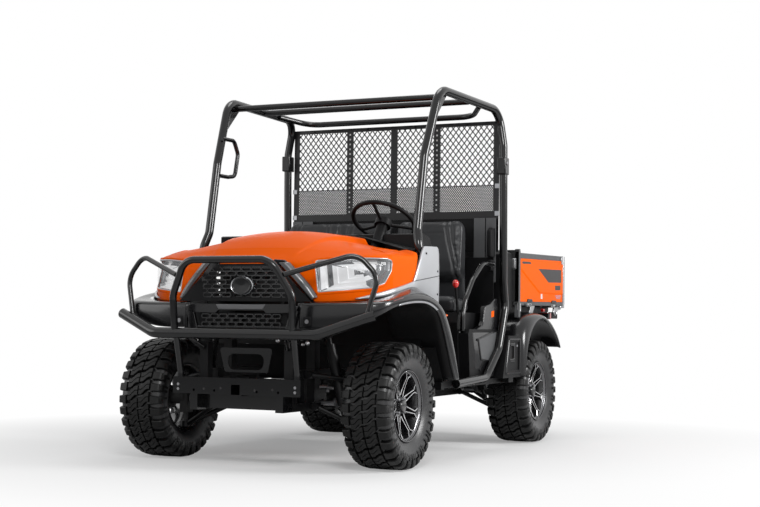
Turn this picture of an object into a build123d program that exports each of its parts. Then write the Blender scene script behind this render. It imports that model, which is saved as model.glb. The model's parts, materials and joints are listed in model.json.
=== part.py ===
from build123d import *
from math import cos, pi, radians, sin
import os

os.makedirs("parts", exist_ok=True)

# A side by side utility vehicle. Millimetres. Front faces -Y, the driver's side is +X, +Z up.
# Stations along the vehicle are measured back from the front axle, heights from the ground.

# Wheels and their places
wheelbase = 2015
front_reach = 549            # front axle to the brush guard's foremost tube
rear_reach = 675             # rear axle to the back of the tailgate
front_track_half = 661
rear_track_half = 673
tyre_radius = 325
tyre_half_width = 132
lug_pitches = 13
rim_radius = 178
rim_half_width = 98
rim_wall = 8
rim_sides = 42
spoke_pairs = 8
hub_pad_radius = 66
hub_seat = 8                 # hub's seat, outboard of the wheel's middle plane
running_gap = 0.3            # between faces that turn or slide past each other
pin_gap = 0.08               # radial, for a pin in its bore

# Steering and suspension
kingpin_x = 565
kingpin_radius = 11
kingpin_span = (198, 462)
knuckle_span = (246, 424)
swing_room = 16              # beyond the knuckle's inner face, for its corners to swing
shaft_z = 361                # propeller shaft, over the cross members and under the engine
eye_height = 30
eye_radius = 24
steer_arm = 112
steer_arm_top = 362
rack_y = 135
rack_z = 398
rack_radius = 13
rack_half = 235
rack_housing_half = 170
tie_rod_radius = 9
wheel_centre = (375, 520, 1311)
hand_wheel_radius = 176
hand_wheel_tube = 26
hand_wheel_slope = 33        # degrees between its plane and the ground

# Chassis
rail_x = 250
rail_width = 50
rail_span = (292, 332)
upper_rail_span = (778, 838)
upper_rail_front = wheelbase - 535
upper_rail_mid = sum(upper_rail_span) / 2
side_beam_x = 706
floor_z = 425
sheet = 5

# Load bed
bed_front = wheelbase - 270
bed_half = 742
sill_low = upper_rail_span[1] + 8
bed_floor_z = sill_low + 48
bed_wall = 26
bed_height = 318
bed_sheet = 6
bed_pivot = (wheelbase + 465, upper_rail_mid)
bed_pin_radius = 12
gate_gap = 6
hinge_axis_z = bed_floor_z - 20
hinge_pin_radius = 5
lift_x = -165
lift_base = (wheelbase + 159, 400)
lift_eye = (wheelbase - 43, upper_rail_mid + 48)
barrel_radius = 30
lift_rod_radius = 14
lift_eye_radius = 22
lift_eye_width = 30

# Body panels and tubes
hood_wall = 4
hood_hinge = (449, 1240)
hood_knuckle_radius = 7
hood_pin_radius = 3
fender_wall = 6
panel = 6
cage_tube = 48
guard_tube = 47
hoop_tube = 32
loop_tube = 25
rail_tube = 38

front_axle_y = front_reach - (front_reach + wheelbase + rear_reach) / 2
bed_rear = wheelbase + rear_reach

side = Plane(origin=(0, front_axle_y, 0), x_dir=(0, 1, 0), z_dir=(1, 0, 0))      # drawn as y, z
top = Plane(origin=(0, front_axle_y, 0))                                          # drawn as x, y
front = Plane(origin=(0, front_axle_y, 0), x_dir=(1, 0, 0), z_dir=(0, -1, 0))     # drawn as x, z


def spot(x, y, z):
    """A point x from the middle, y behind the front axle and z above the ground."""
    return Vector(x, front_axle_y + y, z)


def block(x_span, y_span, z_span):
    """A block between three pairs of faces."""
    with BuildPart() as piece:
        with BuildSketch(top.offset(z_span[0])):
            with Locations((sum(x_span) / 2, sum(y_span) / 2)):
                Rectangle(x_span[1] - x_span[0], y_span[1] - y_span[0])
        extrude(amount=z_span[1] - z_span[0])
    return piece.part


def pushed(plane, outline, amount):
    """A closed outline pushed out of its plane."""
    with BuildPart() as piece:
        with BuildSketch(plane):
            with BuildLine():
                Polyline(*outline, close=True)
            make_face()
        extrude(amount=amount)
    return piece.part


def rod(start, end, radius, bore=0):
    """A round bar, or a tube, between two points."""
    with BuildPart() as piece:
        with BuildSketch(Plane(origin=start, z_dir=end - start)):
            Circle(radius)
            if bore:
                Circle(bore, mode=Mode.SUBTRACT)
        extrude(amount=(end - start).length)
    return piece.part


def bent(points, bend, diameter):
    """A round tube along straight runs joined by bends."""
    with BuildPart() as piece:
        with BuildLine() as path:
            FilletPolyline(*points, radius=bend)
        with BuildSketch(Plane(origin=path.line @ 0, z_dir=path.line % 0)):
            Circle(diameter / 2)
        sweep()
    return piece.part


# ---- tyres and rims ----

wheel_places = {
    "front_left": (front_track_half, 0),
    "front_right": (-front_track_half, 0),
    "rear_left": (rear_track_half, wheelbase),
    "rear_right": (-rear_track_half, wheelbase),
}
carcass_rows = [    # across from the middle plane, radius
    (-94, 196), (-120, 256), (-110, 294), (-70, 305), (70, 305), (110, 294), (120, 256), (94, 196),
]
tread_rows = [      # across from, across to, share of a pitch, width round the tyre, slant
    (3, 74, 0.0, 50, 16),
    (-74, -3, 0.5, 50, 16),
]
shoulder_lug = [    # across from the middle plane, radius: one lug from the tread to the sidewall
    (84, 296), (84, tyre_radius - 1), (118, tyre_radius - 7), (tyre_half_width, 292), (128, 250), (112, 262),
]
shoulder_rows = [(1, 0.5, 46), (-1, 0.0, 46)]    # side, share of a pitch, width round the tyre


def tyre_ring(place):
    """A faceted carcass, two facets to a pitch, with tread blocks and shoulder lugs fused on."""
    outward = 1 if place[0] > 0 else -1
    centre = spot(place[0], place[1], tyre_radius)
    facets = 2 * lug_pitches
    middle = Plane(origin=centre, x_dir=(0, 0, -1), z_dir=(1, 0, 0))
    blocks = []
    for k in range(lug_pitches):
        for x_from, x_to, share, width, slant in tread_rows:
            angle = 2 * pi * (k + share) / lug_pitches
            outwards = Vector(0, sin(angle), -cos(angle))
            seat = Plane(origin=centre + outwards * 290, x_dir=(outward, 0, 0), z_dir=outwards)
            lean = slant if share == 0 else -slant
            blocks.append(pushed(seat, [
                (x_from, -width / 2 - lean / 2), (x_to, -width / 2 + lean / 2),
                (x_to, width / 2 + lean / 2), (x_from, width / 2 - lean / 2),
            ], tyre_radius - 290))
        for hand, share, width in shoulder_rows:
            angle = 2 * pi * (k + share) / lug_pitches
            outwards = Vector(0, sin(angle), -cos(angle))
            round_way = Vector(0, cos(angle), sin(angle))
            slice_plane = Plane(origin=centre - round_way * width / 2, x_dir=(outward * hand, 0, 0), z_dir=round_way)
            flip = 1 if slice_plane.y_dir.dot(outwards) > 0 else -1
            blocks.append(pushed(slice_plane, [(x, flip * r) for x, r in shoulder_lug], width))
    with BuildPart() as ring:
        for x_here, r_here in carcass_rows:
            with BuildSketch(middle.offset(x_here)):
                RegularPolygon(r_here, facets, major_radius=False, rotation=180 / facets)
        loft(ruled=True)
        add(blocks)
        with BuildSketch(middle.offset(-tyre_half_width - 1)):
            RegularPolygon(rim_radius + running_gap, rim_sides, major_radius=False)
        extrude(amount=2 * tyre_half_width + 2, mode=Mode.SUBTRACT)
    return ring.part


def spoked_rim(place):
    """A drum with two lips, a dished set of paired spokes and a hub with a blind nose."""
    outward = 1 if place[0] > 0 else -1
    centre = spot(place[0], place[1], tyre_radius)
    middle = Plane(origin=centre, x_dir=(0, 0, -1), z_dir=(outward, 0, 0))
    with BuildPart() as rim:
        with BuildSketch(middle.offset(-rim_half_width)):
            RegularPolygon(rim_radius, rim_sides, major_radius=False)
            RegularPolygon(rim_radius - rim_wall, rim_sides, major_radius=False, mode=Mode.SUBTRACT)
        extrude(amount=2 * rim_half_width)
        with BuildSketch(middle.offset(rim_half_width - 44)):
            for k in range(spoke_pairs):
                for spread in (-11, 11):
                    with Locations(Rot(0, 0, 360 * k / spoke_pairs) * Pos(107, spread) * Rot(0, 0, spread * 0.5)):
                        Rectangle(132, 12)
        extrude(amount=26)
        with BuildSketch(middle.offset(hub_seat)):
            RegularPolygon(hub_pad_radius, 2 * spoke_pairs, major_radius=False)
        extrude(amount=rim_half_width - 30 - hub_seat)
        with BuildSketch(middle.offset(rim_half_width - 30)):
            RegularPolygon(34, 2 * spoke_pairs, major_radius=False)
        extrude(amount=22)
    return rim.part


tyres = {name: tyre_ring(place) for name, place in wheel_places.items()}
rims = {name: spoked_rim(place) for name, place in wheel_places.items()}
for name in wheel_places:
    tyres[name].label = "tyre_" + name
    export_step(tyres[name], "parts/tyre_" + name + ".step")
    rims[name].label = "rim_" + name
    export_step(rims[name], "parts/rim_" + name + ".step")


# ---- knuckles, arms, shafts ----

knuckle_inner = 24
hub_face_x = front_track_half + hub_seat - running_gap
for name, hand in (("knuckle_left", 1), ("knuckle_right", -1)):
    with BuildPart() as knuckle:
        add(rod(spot(kingpin_x, 0, kingpin_span[0]), spot(kingpin_x, 0, kingpin_span[1]), kingpin_radius))
        add(block((kingpin_x - knuckle_inner, kingpin_x + 22), (-30, 30), knuckle_span))
        add(rod(spot(kingpin_x, 0, tyre_radius), spot(hub_face_x, 0, tyre_radius), 36))
        add(rod(spot(hub_face_x - 14, 0, tyre_radius), spot(hub_face_x, 0, tyre_radius), hub_pad_radius - 8))
        add(block((kingpin_x - 16, kingpin_x + 16), (0, steer_arm + 16), (steer_arm_top - 20, steer_arm_top)))
        if hand < 0:
            add(mirror(knuckle.part, about=Plane.YZ, mode=Mode.PRIVATE), mode=Mode.REPLACE)
    knuckle.part.label = name
    export_step(knuckle.part, "parts/" + name + ".step")

arm_sleeve = 20
lower_pivot_x = rail_x + rail_width / 2 + arm_sleeve + running_gap
arm_rows = [    # axle station, bottom of the knuckle's eye, chassis pivot x, half spread, pivot height
    (0, kingpin_span[0] - eye_height - running_gap, lower_pivot_x, 110, 312),
    (0, knuckle_span[1] + running_gap, 300, 200, 478),
    (wheelbase, kingpin_span[0] - eye_height - running_gap, lower_pivot_x, 110, 312),
    (wheelbase, knuckle_span[1] + running_gap, 300, 200, 478),
]
with BuildPart() as suspension_arms:
    for station, eye_low, pivot_x, spread, pivot_z in arm_rows:
        eye_z = eye_low + eye_height / 2
        for hand in (-1, 1):
            add(rod(spot(kingpin_x - 14, station, eye_z), spot(pivot_x, station + hand * spread, pivot_z), 13))
            add(rod(spot(pivot_x, station + hand * spread - 22, pivot_z),
                    spot(pivot_x, station + hand * spread + 22, pivot_z), arm_sleeve))
        add(rod(spot(kingpin_x, station, eye_low), spot(kingpin_x, station, eye_low + eye_height), eye_radius))
        add(rod(spot(kingpin_x, station, eye_low - 1), spot(kingpin_x, station, eye_low + eye_height + 1),
                kingpin_radius + running_gap), mode=Mode.SUBTRACT)
    mirror(about=Plane.YZ)
suspension_arms.part.label = "suspension_arms"
export_step(suspension_arms.part, "parts/suspension_arms.step")

with BuildPart() as rear_hub_carriers:
    add(rod(spot(kingpin_x, wheelbase, kingpin_span[0]), spot(kingpin_x, wheelbase, kingpin_span[1]), kingpin_radius))
    add(block((kingpin_x - knuckle_inner, kingpin_x + 22), (wheelbase - 34, wheelbase + 34), knuckle_span))
    rear_face_x = rear_track_half + hub_seat - running_gap
    add(rod(spot(kingpin_x, wheelbase, tyre_radius), spot(rear_face_x, wheelbase, tyre_radius), 36))
    add(rod(spot(rear_face_x - 14, wheelbase, tyre_radius), spot(rear_face_x, wheelbase, tyre_radius), hub_pad_radius - 8))
    mirror(about=Plane.YZ)
rear_hub_carriers.part.label = "rear_hub_carriers"
export_step(rear_hub_carriers.part, "parts/rear_hub_carriers.step")

shock_offset = -64
with BuildPart() as coilovers:
    for station in (0, wheelbase):
        low = spot(440, station + shock_offset, 282)
        high = spot(338, station + shock_offset, 676)
        way = (high - low).normalized()
        add(rod(low, high, 12))
        add(rod(low + way * 40, low + way * 300, 29))
        add(rod(low + way * 300, low + way * 360, 24))
        for eye in (low, high):
            add(rod(eye - Vector(0, 16, 0), eye + Vector(0, 16, 0), 17))
    mirror(about=Plane.YZ)
coilovers.part.label = "coilovers"
export_step(coilovers.part, "parts/coilovers.step")

gearbox_half = 112
gearbox_ahead = 135
with BuildPart() as drive_shafts:
    for station in (0, wheelbase):
        start = spot(gearbox_half + running_gap, station, tyre_radius)
        reach = knuckle_inner + (swing_room if station == 0 else running_gap)
        end = spot(kingpin_x - reach, station, tyre_radius)
        add(rod(start, end, 13))
        for near, far in ((start, start + Vector(78, 0, 0)), (end - Vector(66, 0, 0), end)):
            add(rod(near, far, 32))
    mirror(about=Plane.YZ)
    add(rod(spot(0, 112 + running_gap, shaft_z), spot(0, wheelbase - gearbox_ahead - running_gap, shaft_z), 13))
drive_shafts.part.label = "drive_shafts"
export_step(drive_shafts.part, "parts/drive_shafts.step")

with BuildPart() as gearboxes:
    add(block((-gearbox_half, gearbox_half), (-118, 104), (rail_span[0], 415)))
    add(rod(spot(0, 100, shaft_z), spot(0, 112, shaft_z), 40))
    add(block((-gearbox_half, gearbox_half), (wheelbase - gearbox_ahead, wheelbase + 103), (rail_span[0], 470)))
    fillet(gearboxes.edges().filter_by(Axis.X), 26)
gearboxes.part.label = "gearboxes"
export_step(gearboxes.part, "parts/gearboxes.step")

engine_half = 205
engine_foot = 384
with BuildPart() as engine:
    add(block((-engine_half, engine_half), (1436, wheelbase - 215), (engine_foot, 760)))
engine.part.label = "engine"
export_step(engine.part, "parts/engine.step")


# ---- steering ----

with BuildPart() as tie_rods:
    add(rod(spot(-rack_half, rack_y, rack_z), spot(rack_half, rack_y, rack_z), rack_radius))
    for hand in (-1, 1):
        knuckle_end = spot(hand * kingpin_x, steer_arm, steer_arm_top + running_gap + 12)
        add(rod(spot(hand * (rack_half - 6), rack_y, rack_z), knuckle_end, tie_rod_radius))
        add(rod(knuckle_end - Vector(0, 0, 12), knuckle_end + Vector(0, 0, 12), 17))
tie_rods.part.label = "tie_rods"
export_step(tie_rods.part, "parts/tie_rods.step")

hub_place = spot(*wheel_centre)
column_way = Vector(0, sin(radians(hand_wheel_slope)), cos(radians(hand_wheel_slope)))
wheel_plane = Plane(origin=hub_place, x_dir=(1, 0, 0), z_dir=column_way)
with BuildPart() as steering_wheel:
    with BuildSketch(Plane(origin=hub_place, x_dir=(1, 0, 0), z_dir=wheel_plane.y_dir * -1)):
        with Locations((hand_wheel_radius, 0)):
            RegularPolygon(hand_wheel_tube / 2, 12)
    revolve(axis=Axis(hub_place, column_way))
    with BuildSketch(wheel_plane.offset(-34)):
        Circle(46)
    extrude(amount=36)
    for angle in (-25, 90, 205):
        outwards = wheel_plane.x_dir * cos(radians(angle)) - wheel_plane.y_dir * sin(radians(angle))
        tip = hub_place + outwards * (hand_wheel_radius - 4)
        add(rod(hub_place - column_way * 18, tip, 9))
steering_wheel.part.label = "steering_wheel"
export_step(steering_wheel.part, "parts/steering_wheel.step")

with BuildPart() as steering_column:
    add(rod(hub_place - column_way * (34 + running_gap), hub_place - column_way * 250, 32))
steering_column.part.label = "steering_column"
export_step(steering_column.part, "parts/steering_column.step")


# ---- chassis ----

lower_rear = wheelbase + 315
lift_rear = wheelbase + 241
rear_cross = wheelbase + 235
outrigger_span = (385, 415)
cross_stations = [-290, rack_y, 560, 900, 1250, wheelbase - 225, rear_cross]
upright_rows = [(upper_rail_front, 60), (wheelbase - 275, 50), (wheelbase + 215, 60)]     # from, length
shock_top = (338, 676)
receiver_rear = wheelbase + 585
arm_member = (455, 500)
lamp_carrier = (720, bed_pivot[0] - 80, bed_pivot[0] - 40)     # reach, from, to
carrier_rows = [(wheelbase - 100, 25, 796.6), (wheelbase + 30, 20, 801.4)]     # station, half width, top
with BuildPart() as frame:
    rail_inner = rail_x - rail_width / 2
    rail_outer = rail_x + rail_width / 2
    rail = (rail_inner, rail_outer)
    add(block(rail, (-330, lower_rear), rail_span))
    add(block(rail, (upper_rail_front, bed_pivot[0]), upper_rail_span))
    add(rod(spot(rail_inner, *bed_pivot), spot(rail_outer, *bed_pivot), (upper_rail_span[1] - upper_rail_span[0]) / 2))
    for y_low, length in upright_rows:
        add(block(rail, (y_low, y_low + length), (rail_span[0], upper_rail_span[1])))
    for y_low, length in upright_rows[:2]:
        add(block((engine_half - 17, rail_inner + 1), (y_low, y_low + length), (350, engine_foot - running_gap)))
    for y_here in (wheelbase - 155, wheelbase + 185):
        add(block(rail, (y_here, y_here + 50), (upper_rail_span[1] - 1, sill_low - running_gap)))
    for y_here in cross_stations:
        add(block((-1, rail_x), (y_here - 22, y_here + 22), (rail_span[0] + 4, rail_span[1] - 5)))
    for y_here in (upper_rail_front + 30, wheelbase + 365):
        add(block((-1, rail_x), (y_here - 22, y_here + 22), (upper_rail_span[0] + 4, upper_rail_span[1] - 4)))
    for station in (0, wheelbase):
        shock_y = station + shock_offset
        tower_top = 700 if station == 0 else upper_rail_span[0] + 1
        add(block(rail, (shock_y - 28, shock_y + 28), (rail_span[1] - 1, tower_top)))
        add(block((rail_x, shock_top[0] - 17 - running_gap), (shock_y - 22, shock_y + 22), (650, 700)))
        add(block(rail, (station - 45, station + 45), (rail_span[0], shaft_z + 40)))
        add(block((rail_inner, 300 - 20 - running_gap), (station - 228, station + 228), arm_member))
        for y_here in (station - 190, station + 190):
            add(block(rail, (y_here - 15, y_here + 15), (rail_span[1] - 1, arm_member[0] + 1)))
    add(block(rail, (-330, -280), (rail_span[1] - 1, 640)))
    for y_here in (560, 1250):
        add(block(rail, (y_here - 22, y_here + 22), (rail_span[1] - 1, outrigger_span[1])))
        add(block((rail_x, side_beam_x + 18), (y_here - 20, y_here + 20), outrigger_span))
    add(block((side_beam_x - 18, side_beam_x + 18), (538, 1560), (392, floor_z - running_gap)))
    add(block((side_beam_x + 16, 775), (1480, 1560), (396, floor_z - running_gap)))
    for y_here, half, carrier_top in carrier_rows:
        add(block((rail_x, 640), (y_here - half, y_here + half), (750, carrier_top)))
    add(block((rail_x, lamp_carrier[0]), lamp_carrier[1:], (788, 822)))
    mirror(about=Plane.YZ)
    add(rod(spot(-rack_housing_half, rack_y, rack_z), spot(rack_housing_half, rack_y, rack_z), rack_radius + 9))
    for hand in (-1, 1):
        add(block((hand * 120 - 30, hand * 120 + 30), (rack_y - 15, rack_y + 15), (rail_span[1] - 6, rack_z)))
    add(rod(spot(-rack_housing_half - 1, rack_y, rack_z), spot(rack_housing_half + 1, rack_y, rack_z),
            rack_radius + running_gap), mode=Mode.SUBTRACT)
    for station in (0, wheelbase):
        add(rod(spot(-rail_outer - 1, station, tyre_radius), spot(rail_outer + 1, station, tyre_radius), 22), mode=Mode.SUBTRACT)
    # square receiver under the tail, with its pin bore across it
    add(block((-32, 32), (lower_rear - 60, receiver_rear), (rail_span[0], rail_span[0] + 64)))
    add(block((-rail_x, rail_x), (lower_rear - 40, lower_rear), (rail_span[0], rail_span[1])))
    add(block((-25.4, 25.4), (receiver_rear - 160, receiver_rear + 1), (rail_span[0] + 6.6, rail_span[0] + 57.4)),
        mode=Mode.SUBTRACT)
    add(rod(spot(-40, receiver_rear - 60, rail_span[0] + 32), spot(40, receiver_rear - 60, rail_span[0] + 32), 8),
        mode=Mode.SUBTRACT)
    # bed pivot bores and the lift's lower lugs
    add(rod(spot(-rail_outer - 1, *bed_pivot), spot(rail_outer + 1, *bed_pivot), bed_pin_radius + pin_gap),
        mode=Mode.SUBTRACT)
    for near in (-1, 1):
        lug_x = lift_x + near * (lift_eye_width / 2 + running_gap + 6)
        add(block((lug_x - 6, lug_x + 6), (lift_base[0] - 24, lift_rear), (rail_span[1] - 14, lift_base[1] + 22)))
    add(rod(spot(lift_x - 40, *lift_base), spot(lift_x + 40, *lift_base), bed_pin_radius + pin_gap),
        mode=Mode.SUBTRACT)
frame.part.label = "frame"
export_step(frame.part, "parts/frame.step")

floor_half = side_beam_x + 18
with BuildPart() as floor_pan:
    add(pushed(side.offset(-floor_half), [
        (446, floor_z + 190), (560, floor_z), (930, floor_z), (930, floor_z + sheet),
        (562, floor_z + sheet), (451, floor_z + 192),
    ], 2 * floor_half))
floor_pan.part.label = "floor_pan"
export_step(floor_pan.part, "parts/floor_pan.step")


# ---- cab ----

seat_top = 812
seat_base_half = 666
pod_outer = 725.6
pod_outline = [(1420, floor_z + 10), (962, floor_z + 10), (932, 690), (950, 716), (1420, 716)]
pod_recess = [(1378, 500), (1300, 474), (1120, 486), (1060, 660), (1378, 688)]
with BuildPart() as seat_base:
    add(pushed(side.offset(-seat_base_half), [
        (935, floor_z + 1), (905, seat_top - 60), (930, seat_top), (1420, seat_top), (1420, floor_z + 1),
    ], 2 * seat_base_half))
    add(pushed(side.offset(-seat_base_half + panel), [
        (935 + panel, floor_z), (905 + panel, seat_top - 62), (932 + panel, seat_top - panel),
        (1421, seat_top - panel), (1421, floor_z),
    ], 2 * (seat_base_half - panel)), mode=Mode.SUBTRACT)
    for x_low in (seat_base_half - 1, -pod_outer):
        add(pushed(side.offset(x_low), pod_outline, pod_outer - seat_base_half + 1))
    for x_low in (pod_outer - 8, -pod_outer - 1):
        add(pushed(side.offset(x_low), pod_recess, 9), mode=Mode.SUBTRACT)
seat_base.part.label = "seat_base"
export_step(seat_base.part, "parts/seat_base.step")

seat_rows = [(150, 640), (-640, 110)]       # driver's seat, passengers' bench: x from, x to
cushion_side = [(935, 828), (925, 880), (950, 908), (1208, 884), (1242, seat_top + running_gap), (940, seat_top + running_gap)]
back_side = [(1248, seat_top + running_gap), (1206, 900), (1228, 1130), (1252, 1372), (1276, 1390), (1318, 1380),
             (1330, 1300), (1316, 1060), (1340, seat_top + running_gap)]
with BuildPart() as seat_cushions:
    for x_low, x_high in seat_rows:
        add(pushed(side.offset(x_low), cushion_side, x_high - x_low))
seat_cushions.part.label = "seat_cushions"
export_step(seat_cushions.part, "parts/seat_cushions.step")
with BuildPart() as seat_backs:
    for x_low, x_high in seat_rows:
        add(pushed(side.offset(x_low), back_side, x_high - x_low))
seat_backs.part.label = "seat_backs"
export_step(seat_backs.part, "parts/seat_backs.step")

with BuildPart() as cab_rear_wall:
    add(block((-693, 693), (1421, 1421 + panel), (floor_z + running_gap, 1150)))
cab_rear_wall.part.label = "cab_rear_wall"
export_step(cab_rear_wall.part, "parts/cab_rear_wall.step")


dash_face = ((632, 1050), (600, 965))       # y, z of the dashboard's face below its brow
lever_rows = [(150, 700, 1120), (110, 690, 1090)]     # x, knob y, knob z
with BuildPart() as controls:
    upper = spot(88, *dash_face[0])
    lower = spot(88, *dash_face[1])
    facing = Vector(1, 0, 0).cross(lower - upper).normalized()
    with BuildSketch(Plane(origin=upper + (lower - upper) * 0.5 + facing * running_gap, x_dir=(1, 0, 0), z_dir=facing)):
        with Locations((42, 0)):
            Rectangle(84, 70)
    extrude(amount=9)
    for x_here, knob_y, knob_z in lever_rows:
        foot = upper + (lower - upper) * 0.5 + facing * 6 + Vector(x_here - 88, 0, 0)
        knob = spot(x_here, knob_y, knob_z)
        way = (knob - foot).normalized()
        add(rod(foot, knob, 6))
        add(rod(knob - way * 16, knob + way * 14, 17))
controls.part.label = "controls"
export_step(controls.part, "parts/controls.step")


# ---- roll cage ----

leg_points = [
    (684, 680, floor_z + sheet + running_gap), (684, 680, 540), (680, 470, 900), (680, 312, 1140), (654, 350, 1250),
    (656, 428, 1660), (676, 585, 2047), (684, 1440, 2047), (741, 1441, 1800), (744, 1447, 1600), (742, 1462, 1000),
    (750, 1474, 850), (750, 1365, 593), (750, 1150, 434), (750, 690, 414),
]
grab_points = [(640, 452, 1811), (640, 584, 1814), (640, 632, 1740), (640, 600, 1604), (640, 520, 1592), (640, 424, 1591)]
with BuildPart() as roll_cage:
    add(bent([spot(*p) for p in leg_points], 55, cage_tube))
    mirror(about=Plane.YZ)
    add(rod(spot(-672, 640, 2012), spot(672, 640, 2012), 18))
    add(rod(spot(-678, 1020, 2040), spot(678, 1020, 2040), 18))
    add(rod(spot(-680, 1395, 2020), spot(680, 1395, 2020), 18))
    add(bent([spot(-x, y, z) for x, y, z in grab_points], 30, 20))
roll_cage.part.label = "roll_cage"
export_step(roll_cage.part, "parts/roll_cage.step")

screen_half = 704
screen_span = (1185, 1985)
screen_front = 1467
screen_sheet = 5
screen_bays = [(-689, -321), (-291, -15), (15, 285), (313, 689)]     # between the mullions
bay_span = (1432, 1968)
diamond = (74, 92)
strand = 5
tab_rows = [(1600, 1471.3), (1795, 1465.3)]     # height, rear face of the post there
with BuildPart() as rear_screen:
    with BuildSketch(front.offset(-screen_front - screen_sheet)):
        with Locations((0, sum(screen_span) / 2)):
            Rectangle(2 * screen_half, screen_span[1] - screen_span[0])
        for x_low, x_high in screen_bays:
            with Locations(((x_low + x_high) / 2, sum(bay_span) / 2)):
                Rectangle(x_high - x_low, bay_span[1] - bay_span[0], mode=Mode.SUBTRACT)
    extrude(amount=screen_sheet)
    rise = bay_span[1] - bay_span[0]
    step_across = rise * diamond[0] / diamond[1]
    with BuildSketch(front.offset(-screen_front - screen_sheet + 1)):
        for x_low, x_high in screen_bays:
            with BuildSketch(front.offset(-screen_front - screen_sheet + 1), mode=Mode.PRIVATE) as bay:
                with Locations(((x_low + x_high) / 2, sum(bay_span) / 2)):
                    Rectangle(x_high - x_low + 2, rise + 2)
            for hand in (-1, 1):
                count = int((x_high - x_low + step_across) / diamond[0]) + 1
                for k in range(count):
                    foot_x = x_low + (k + 0.5) * diamond[0] - (step_across if hand > 0 else 0)
                    with BuildSketch(front.offset(-screen_front - screen_sheet + 1), mode=Mode.PRIVATE) as wire:
                        with BuildLine():
                            foot_x2 = foot_x + hand * step_across
                            Polyline((foot_x - strand / 2, bay_span[0]), (foot_x + strand / 2, bay_span[0]),
                                     (foot_x2 + strand / 2, bay_span[1]), (foot_x2 - strand / 2, bay_span[1]), close=True)
                        make_face()
                    add(wire.sketch.intersect(bay.sketch))
    extrude(amount=screen_sheet - 2)
    for z_here, post_rear in tab_rows:
        for hand in (-1, 1):
            add(block(sorted((hand * (screen_half - 12), hand * 742)), (post_rear, 1477.3), (z_here - 12, z_here + 12)))
rear_screen.part.label = "rear_screen"
export_step(rear_screen.part, "parts/rear_screen.step")

guard_points = [(690, 1421 - running_gap, 1104), (690, 1250, 1104), (690, 966, 884), (690, 905, 700),
                (690, 905, floor_z + sheet + running_gap)]
with BuildPart() as hand_rails:
    add(bent([spot(*p) for p in guard_points], 45, rail_tube))
    mirror(about=Plane.YZ)
hand_rails.part.label = "hand_rails"
export_step(hand_rails.part, "parts/hand_rails.step")


# ---- hood, lamps and front panels ----

hood_sections = [   # station, height at the sides, at the creases, at the middle
    (-420, 960, 985, 995),
    (-345, 1000, 1030, 1038),
    (-150, 1078, 1148, 1165),
    (60, 1110, 1192, 1220),
    (270, 1122, 1208, 1235),
    (480, 1126, 1216, 1242),
]
hood_side = 720
crease_x = 300
hood_plan = [(0, -352), (392, -322), (618, -214), (700, -60), (704, 200)]
hood_lower = [(-500, 850), (-205, 858), (-61, 903), (190, 955), (276, 1142), (400, 1214), (445, 1240), (445, 1400), (-500, 1400)]


def hood_form(inset):
    """The outer form of the hood, inset by a wall: lofted top, curved plan and a cut side outline."""
    with BuildPart() as form:
        for station, z_side, z_crease, z_middle in hood_sections:
            with BuildSketch(front.offset(-station)):
                with BuildLine():
                    Line((-hood_side, 700), (-hood_side, z_side - inset))
                    Line((-hood_side, z_side - inset), (-crease_x, z_crease - inset))
                    ThreePointArc((-crease_x, z_crease - inset), (0, z_middle - inset), (crease_x, z_crease - inset))
                    Line((crease_x, z_crease - inset), (hood_side, z_side - inset))
                    Line((hood_side, z_side - inset), (hood_side, 700))
                    Line((hood_side, 700), (-hood_side, 700))
                make_face()
        loft()
        with BuildSketch(top.offset(690)):
            with BuildLine():
                nose, shoulder, bow, flank, tail = hood_plan
                for hand in (-1, 1):
                    ThreePointArc((0, nose[1] + inset), (hand * 200, nose[1] + 7 + inset),
                                  (hand * (shoulder[0] - inset * 0.3), shoulder[1] + inset))
                    ThreePointArc((hand * (shoulder[0] - inset * 0.3), shoulder[1] + inset),
                                  (hand * (bow[0] - inset * 0.7), bow[1] + inset * 0.7), (hand * (flank[0] - inset), flank[1]))
                    Line((hand * (flank[0] - inset), flank[1]), (hand * (tail[0] - inset), 600))
                Line((-(tail[0] - inset), 600), (tail[0] - inset, 600))
            make_face()
        extrude(amount=700, mode=Mode.INTERSECT)
    return form.part


grille_opening = [(-190, 1042), (190, 1042), (392, 846), (392, 600), (-392, 600), (-392, 846)]
lamp_window = [(372, 1066), (560, 1084), (760, 1076), (760, 925), (640, 905), (398, 882)]
lamp_rear = -80
lamp_gap = running_gap


def lamp_cutter(shrink):
    """The window that a headlamp fills, for the driver's side."""
    with BuildPart() as cutter:
        with BuildSketch(front.offset(-lamp_rear + shrink)):
            with BuildLine():
                Polyline(*lamp_window, close=True)
            make_face()
            if shrink:
                offset(amount=-shrink, mode=Mode.REPLACE)
        extrude(amount=400)
    return cutter.part


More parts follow.
